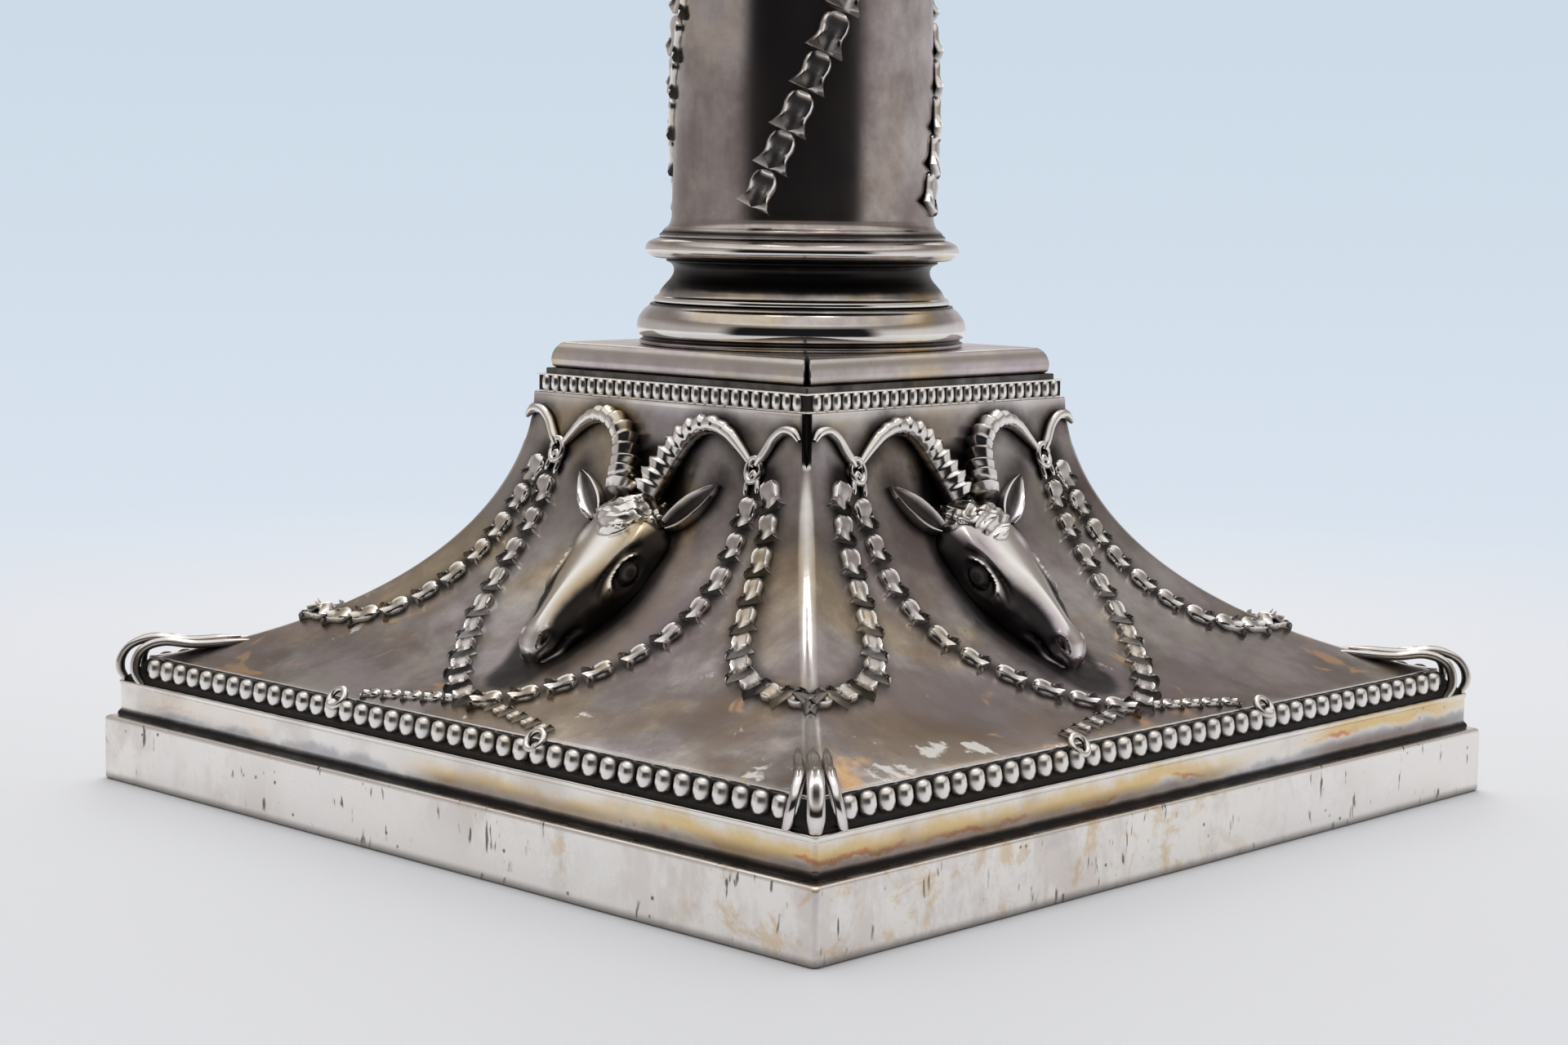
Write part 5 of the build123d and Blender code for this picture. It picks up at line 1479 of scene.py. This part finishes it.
    def abacus(self):
        """A moulded edge carried round a plate with hollowed sides and chopped corners."""
        corner, waist, chop = 30.0 * MM, 20.6 * MM, 3.4 * MM
        t = np.linspace(-1, 1, 41)
        ends = corner / math.sqrt(2)
        half = ends - chop / 2 / math.sqrt(2)
        far = ends + chop / 2 / math.sqrt(2)
        side = np.stack([waist + (far - waist) * t ** 2, half * t], -1)
        plan = []
        for k in range(4):
            a = math.radians(90 * k)
            plan.append(side @ np.array([[math.cos(a), math.sin(a)], [-math.sin(a), math.cos(a)]]))
        plan = np.concatenate(plan)
        step = np.roll(plan, -1, 0) - np.roll(plan, 1, 0)
        out = normalised(np.stack([step[:, 1], -step[:, 0]], -1))
        tall = ABACUS_TOP - BELL_TOP
        edge = np.array([(-7.0, 0.0), (-1.6, 0.0), (-1.45, 0.12), (-1.4, 0.25), (-1.5, 0.42), (-1.0, 0.52),
                         (-0.95, 0.58), (-0.35, 0.64), (-0.05, 0.76), (-0.05, 0.9), (-0.3, 1.0), (-7.0, 1.0)])
        edge = rounded(edge * [MM, tall], 0.15 * MM, 3)
        ring = plan[None] + edge[:, 0][:, None, None] * out[None]
        hole = plan / np.linalg.norm(plan, axis=1, keepdims=True) * 13.0 * MM
        solid = clamped((-edge[:, 0] - 2.5 * MM) / (4.0 * MM))[:, None, None]
        flat = ring * (1 - solid) + hole[None] * solid
        z = np.broadcast_to((BELL_TOP + edge[:, 1])[:, None, None], flat.shape[:2] + (1,))
        share = edge[:, 1] / tall
        # Dark in the groove, tarnish and painted shade; bright on the upper roll, rubbed and a painted
        # highlight.
        tarnish_and_shade = hill(share - 0.47, 0.07)[:, None]
        polish_and_highlight = hill(share - 0.83, 0.15)[:, None] * (edge[:, 0] > -1 * MM)[:, None]
        return loop_skin(np.concatenate([flat, z], -1), 0.9 * tarnish_and_shade, 0.7 * polish_and_highlight)

    def flower(self):
        """A flower with six petals and a round eye, facing out of the front side."""
        around = circle(48)
        out = np.array([0.02, 0.14, 0.28, 0.36, 0.5, 0.7, 0.86, 0.96, 1.0, 1.0])
        petal = abs(np.cos(3 * around)) ** 0.6
        radius = 3.1 * MM * (0.70 + 0.30 * petal)
        rise = MM * np.interp(out, [0, 0.28, 0.36, 0.6, 0.9, 1.0], [1.6, 1.2, 0.5, 1.05, 0.6, 0.2])
        rise = rise[:, None] * np.ones(len(around))
        rise = rise * np.where(out[:, None] > 0.36, 0.45 + 0.55 * petal, 1)
        rise[-1] = -0.9 * MM
        x = out[:, None] * radius * np.cos(around)
        z = out[:, None] * radius * np.sin(around)
        seat = 20.4 * MM
        rings = np.stack([x, -seat - rise, z + BELL_TOP + 0.52 * (ABACUS_TOP - BELL_TOP)], -1)
        # Dark where the flower lies low and on its back, tarnish and painted shade; bright where it stands
        # up, rubbed and painted highlights.
        tarnish_and_shade = clamped(1.1 - rise / (0.7 * MM))
        return ring_skin(rings, tarnish_and_shade, clamped(rise / (1.2 * MM)) * (1 - tarnish_and_shade))


# ---- nozzle ------------------------------------------------------------------------------------
class CANDLESTICK_OT_nozzle(Builder, bpy.types.Operator):
    """Build the lift-out nozzle: its square drip pan and the tube that takes the candle"""
    bl_idname = "candlestick.nozzle"
    bl_label = "Nozzle"

    def build(self):
        half, low = HIGH["nozzle_pan"][0], ABACUS_TOP
        rim = RIM_TOP - 2.6 * MM
        inner = HIGH["nozzle_tube"][0]
        cove = smooth_line([(14.5 * MM, low + 1.2 * MM), (15.2 * MM, low + 3.6 * MM),
                            (18.0 * MM, low + 6.3 * MM), (23.5 * MM, low + 8.1 * MM),
                            (half - 0.4 * MM, rim - 0.5 * MM)], 26)
        dish = smooth_line([(half - 1.7 * MM, RIM_TOP - 1.2 * MM), (24.0 * MM, RIM_TOP - 2.9 * MM),
                            (19.0 * MM, RIM_TOP - 4.3 * MM), (14.2 * MM, RIM_TOP - 4.9 * MM)], 22)
        bowl = [(12.9 * MM, RIM_TOP - 4.6 * MM), (12.7 * MM, RIM_TOP - 3.9 * MM),
                (inner + 0.3 * MM, RIM_TOP - 3.7 * MM)]
        outline = np.concatenate([
            [(inner, low), (15.0 * MM, low), (15.1 * MM, low + 0.5 * MM), (14.7 * MM, low + 0.8 * MM)], cove,
            [(half, rim), (half, RIM_TOP - 0.3 * MM), (half - 0.3 * MM, RIM_TOP), (half - 0.8 * MM, RIM_TOP),
             (half - 1.1 * MM, RIM_TOP - 0.4 * MM)], dish, bowl, [(inner, RIM_TOP - 4.2 * MM)]])
        square = square_ring(outline, 1.2 * MM, 48)
        flat = square[..., :2]
        w = outline[:, 0][:, None]
        angle = np.arctan2(flat[..., 1], flat[..., 0])
        turned_flat = np.stack([w * np.cos(angle), w * np.sin(angle)], -1)
        share = clamped((w - 15.2 * MM) / (6.5 * MM))[..., None]
        share = share * share * (3 - 2 * share)
        points = np.concatenate([flat * share + turned_flat * (1 - share), square[..., 2:]], -1)
        z = points[..., 2]
        # Bright on the rim, rubbed and a painted highlight; dark in the bowl round the tube: painted shade
        # between parts and tarnish.
        polish_and_highlight = hill(z - RIM_TOP, 0.5 * MM)
        tarnish_and_shade = 0.8 * hill(w - 13.6 * MM, 0.9 * MM)
        add_piece("nozzle_pan_finished", loop_skin(points, tarnish_and_shade, polish_and_highlight), "satin", "nozzle_pan", body="nozzle")
        bore, bottom, mouth = 11.25 * MM, LOW["nozzle_tube"][2], HIGH["nozzle_tube"][2]
        middle, floor = 0.2 * MM, bottom + 0.7 * MM
        corners = [(middle, bottom), (inner, bottom), (inner, mouth), (bore, mouth), (bore, floor),
                   (middle, floor)]
        tube_line = rounded(corners, 0.25 * MM, 5, closed=False)
        rings = lathe(tube_line, 96)
        # Painted shade deepening down the bore; a painted highlight on the mouth's lip.
        depth = clamped((mouth - tube_line[:, 1]) / (mouth - bottom))
        inside = tube_line[:, 0] < bore + 0.05 * MM
        polish_and_highlight = hill(tube_line[:, 1] - mouth, 0.4 * MM)
        skin = ring_skin(rings, (0.8 * depth * inside)[:, None], polish_and_highlight[:, None])
        add_piece("nozzle_tube_finished", skin, "satin", "nozzle_tube", body="nozzle")


class CANDLESTICK_OT_hidden_pieces(Builder, bpy.types.Operator):
    """Give the socket, rod, nuts, filling, board and baize their materials"""
    bl_idname = "candlestick.hidden_pieces"
    bl_label = "Socket, rod, filling and underside"

    def build(self):
        iron = plain("Black iron", (0.16, 0.15, 0.145), 0.5, 1.0, 220.0, 0.45)
        pitch = plain("Pitch", (0.06, 0.045, 0.035), 0.45, 0.0, 90.0, 0.5, 0.6)
        board = plain("Board", (0.36, 0.24, 0.13), 0.6, 0.0, 40.0, 0.6, 0.3, (1, 9, 9))
        baize = plain("Baize", (0.03, 0.12, 0.06), 0.95, 0.0, 700.0, 0.55, 1.0)
        finishes = {
            "candle_socket": finish("satin")[1], "core_rod": iron, "base_nut": iron, "base_washer": iron,
            "socket_nut": iron, "base_filling": pitch, "column_filling": pitch, "base_board": board,
            "baize_pad": baize,
        }
        for node, material in finishes.items():
            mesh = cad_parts[node].data
            mesh.materials.clear()
            mesh.materials.append(material)


# ---- stage -------------------------------------------------------------------------------------
class CANDLESTICK_OT_stage(Builder, bpy.types.Operator):
    """Set up the floor, the soft light and the camera"""
    bl_idname = "candlestick.stage"
    bl_label = "Stage"

    def build(self):
        self.camera()
        self.floor()
        self.surroundings()
        self.lights()

    def axes(self):
        """The camera's right, up and backward directions."""
        s = settings("stage")
        az, el, roll = (math.radians(v) for v in (s.azimuth, s.pitch, s.roll))
        back = np.array([math.sin(az) * math.cos(el), -math.cos(az) * math.cos(el), math.sin(el)])
        right = np.array([math.cos(az), math.sin(az), 0.0])
        up = np.cross(back, right)
        c, s = math.cos(roll), math.sin(roll)
        return c * right + s * up, c * up - s * right, back

    def camera(self):
        """A camera on the line back from the point it looks at."""
        s = settings("stage")
        right, up, back = self.axes()
        az = math.radians(s.azimuth)
        aim = np.array([0, 0, s.aim_height]) - s.aim_shift * np.array([math.cos(az), math.sin(az), 0])
        bpy.context.scene.view_settings.view_transform = "Standard"
        data = bpy.data.cameras.new("Camera")
        data.sensor_width = 36.0
        data.lens = s.lens
        data.clip_start = 0.01
        camera = bpy.data.objects.new("Camera", data)
        place = Matrix([list(row) for row in np.stack([right, up, back], 1)]).to_4x4()
        place.translation = list(aim + s.distance * back)
        camera.matrix_world = place
        bpy.context.scene.collection.objects.link(camera)
        bpy.context.scene.camera = camera

    def floor(self):
        """A disc that thins out with distance, so that floor and backdrop meet without a line."""
        s = settings("stage")
        radii = np.concatenate([[0.001], np.linspace(0.02, 1.2, 40)])
        turn = circle(64)
        points = np.stack([np.outer(radii, np.cos(turn)), np.outer(radii, np.sin(turn)),
                           np.zeros((len(radii), len(turn)))], -1)
        mesh = bpy.data.meshes.new("floor")
        quads = grid_quads(len(radii), len(turn), False, True)
        mesh.from_pydata(points.reshape(-1, 3).tolist(), [], quads.tolist())
        material = bpy.data.materials.new("Pale floor")
        material.use_nodes = True
        n = Nodes(material.node_tree)
        shader = material.node_tree.nodes["Principled BSDF"]
        shader.inputs["Base Color"].default_value = (*s.floor, 1)
        shader.inputs["Roughness"].default_value = 0.6
        place = n.new("TexCoord").outputs["Object"]
        far = n.new("VectorMath", {0: place}, operation="LENGTH").outputs["Value"]
        n.put(shader.inputs["Alpha"], n.ramp(far, 0.40, 0.11))
        mesh.materials.append(material)
        floor = bpy.data.objects.new("floor", mesh)
        bpy.context.scene.collection.objects.link(floor)

    def surroundings(self):
        """The room as silver sees it: pale all round, dark on the viewer's side; plain to the eye itself."""
        s = settings("stage")
        world = bpy.data.worlds.new("Soft room")
        bpy.context.scene.world = world
        world.use_nodes = True
        n = Nodes(world.node_tree)
        background = world.node_tree.nodes["Background"]
        way = n.new("TexCoord").outputs["Generated"]
        right, _, back = self.axes()
        level = [1, 1, 0]
        facing = n.dot(way, back * level)
        sideways = n.dot(way, right * level)
        up = n.part(way, "Z")
        dark_side = n.times(n.ramp(facing, 0.46, 0.70), n.ramp(up, -0.34, -0.20))
        dark_side = n.times(dark_side, n.ramp(up, 0.56, 0.36))
        walls = n.mix(n.ramp(sideways, -0.9, 0.9), (0.48, 0.46, 0.46, 1), (0.70, 0.69, 0.71, 1))
        walls = n.mix(n.ramp(up, 0.12, 0.42), walls, (0.36, 0.33, 0.31, 1))
        walls = n.mix(n.ramp(up, -0.02, -0.10), walls, (0.86, 0.86, 0.88, 1))
        walls = n.mix(dark_side, walls, (0.012, 0.012, 0.014, 1))
        above = n.mix(n.ramp(up, 0.55, 0.72), walls, (0.95, 0.94, 0.93, 1))
        seen = n.new("LightPath").outputs["Is Camera Ray"]
        low = n.mix(n.ramp(up, 0.12, -0.22), (*s.sky, 1), (*s.horizon, 1))
        n.put(background.inputs["Color"], n.mix(seen, above, low))
        background.inputs["Strength"].default_value = 1.0

    def lights(self):
        """Two soft boxes: one over the front and one behind."""
        back = self.axes()[2]
        level = np.array([1, 1, 0])
        # name, place, width of the box and power
        rows = [
            ("over", back * level * -0.10 + np.array([0, 0, 0.80]), 0.35, 1.6),
            ("behind", -back * level * 0.80 + np.array([0, 0, 0.60]), 0.50, 1.0),
        ]
        for name, place, size, power in rows:
            data = bpy.data.lights.new("Soft box " + name, "AREA")
            data.size = size
            data.energy = power
            lamp = bpy.data.objects.new("Soft box " + name, data)
            lamp.location = list(place)
            aim = Vector((0, 0, 0.04)) - lamp.location
            lamp.rotation_euler = aim.to_track_quat("-Z", "Y").to_euler()
            bpy.context.scene.collection.objects.link(lamp)


# ---- add-on ------------------------------------------------------------------------------------
OPERATORS = (
    CANDLESTICK_OT_foot, CANDLESTICK_OT_sides, CANDLESTICK_OT_bead_wires, CANDLESTICK_OT_border_mounts,
    CANDLESTICK_OT_heads, CANDLESTICK_OT_garlands, CANDLESTICK_OT_plinth, CANDLESTICK_OT_column,
    CANDLESTICK_OT_capital, CANDLESTICK_OT_nozzle, CANDLESTICK_OT_hidden_pieces, CANDLESTICK_OT_stage,
)


class CANDLESTICK_PT_panel(bpy.types.Panel):
    """Settings and pieces of the candlestick"""
    bl_label = "Silver candlestick"
    bl_idname = "CANDLESTICK_PT_panel"
    bl_space_type = "VIEW_3D"
    bl_region_type = "UI"
    bl_category = "Candlestick"

    def draw(self, context):
        for name, kind in SETTINGS.items():
            box = self.layout.box()
            box.label(text=kind.__doc__)
            group = getattr(context.scene, name)
            for key in kind.__annotations__:
                box.prop(group, key)
        for operator in OPERATORS:
            self.layout.operator(operator.bl_idname)


def register():
    for kind in (*SETTINGS.values(), *OPERATORS, CANDLESTICK_PT_panel):
        bpy.utils.register_class(kind)
    for name, kind in SETTINGS.items():
        setattr(bpy.types.Scene, name, bpy.props.PointerProperty(type=kind))


def unregister():
    for name in SETTINGS:
        delattr(bpy.types.Scene, name)
    for kind in reversed((*SETTINGS.values(), *OPERATORS, CANDLESTICK_PT_panel)):
        bpy.utils.unregister_class(kind)


def main():
    """Register, and build every piece in order."""
    register()
    for operator in OPERATORS:
        group, call = operator.bl_idname.split(".")
        getattr(getattr(bpy.ops, group), call)()


if __name__ == "__main__":
    main()
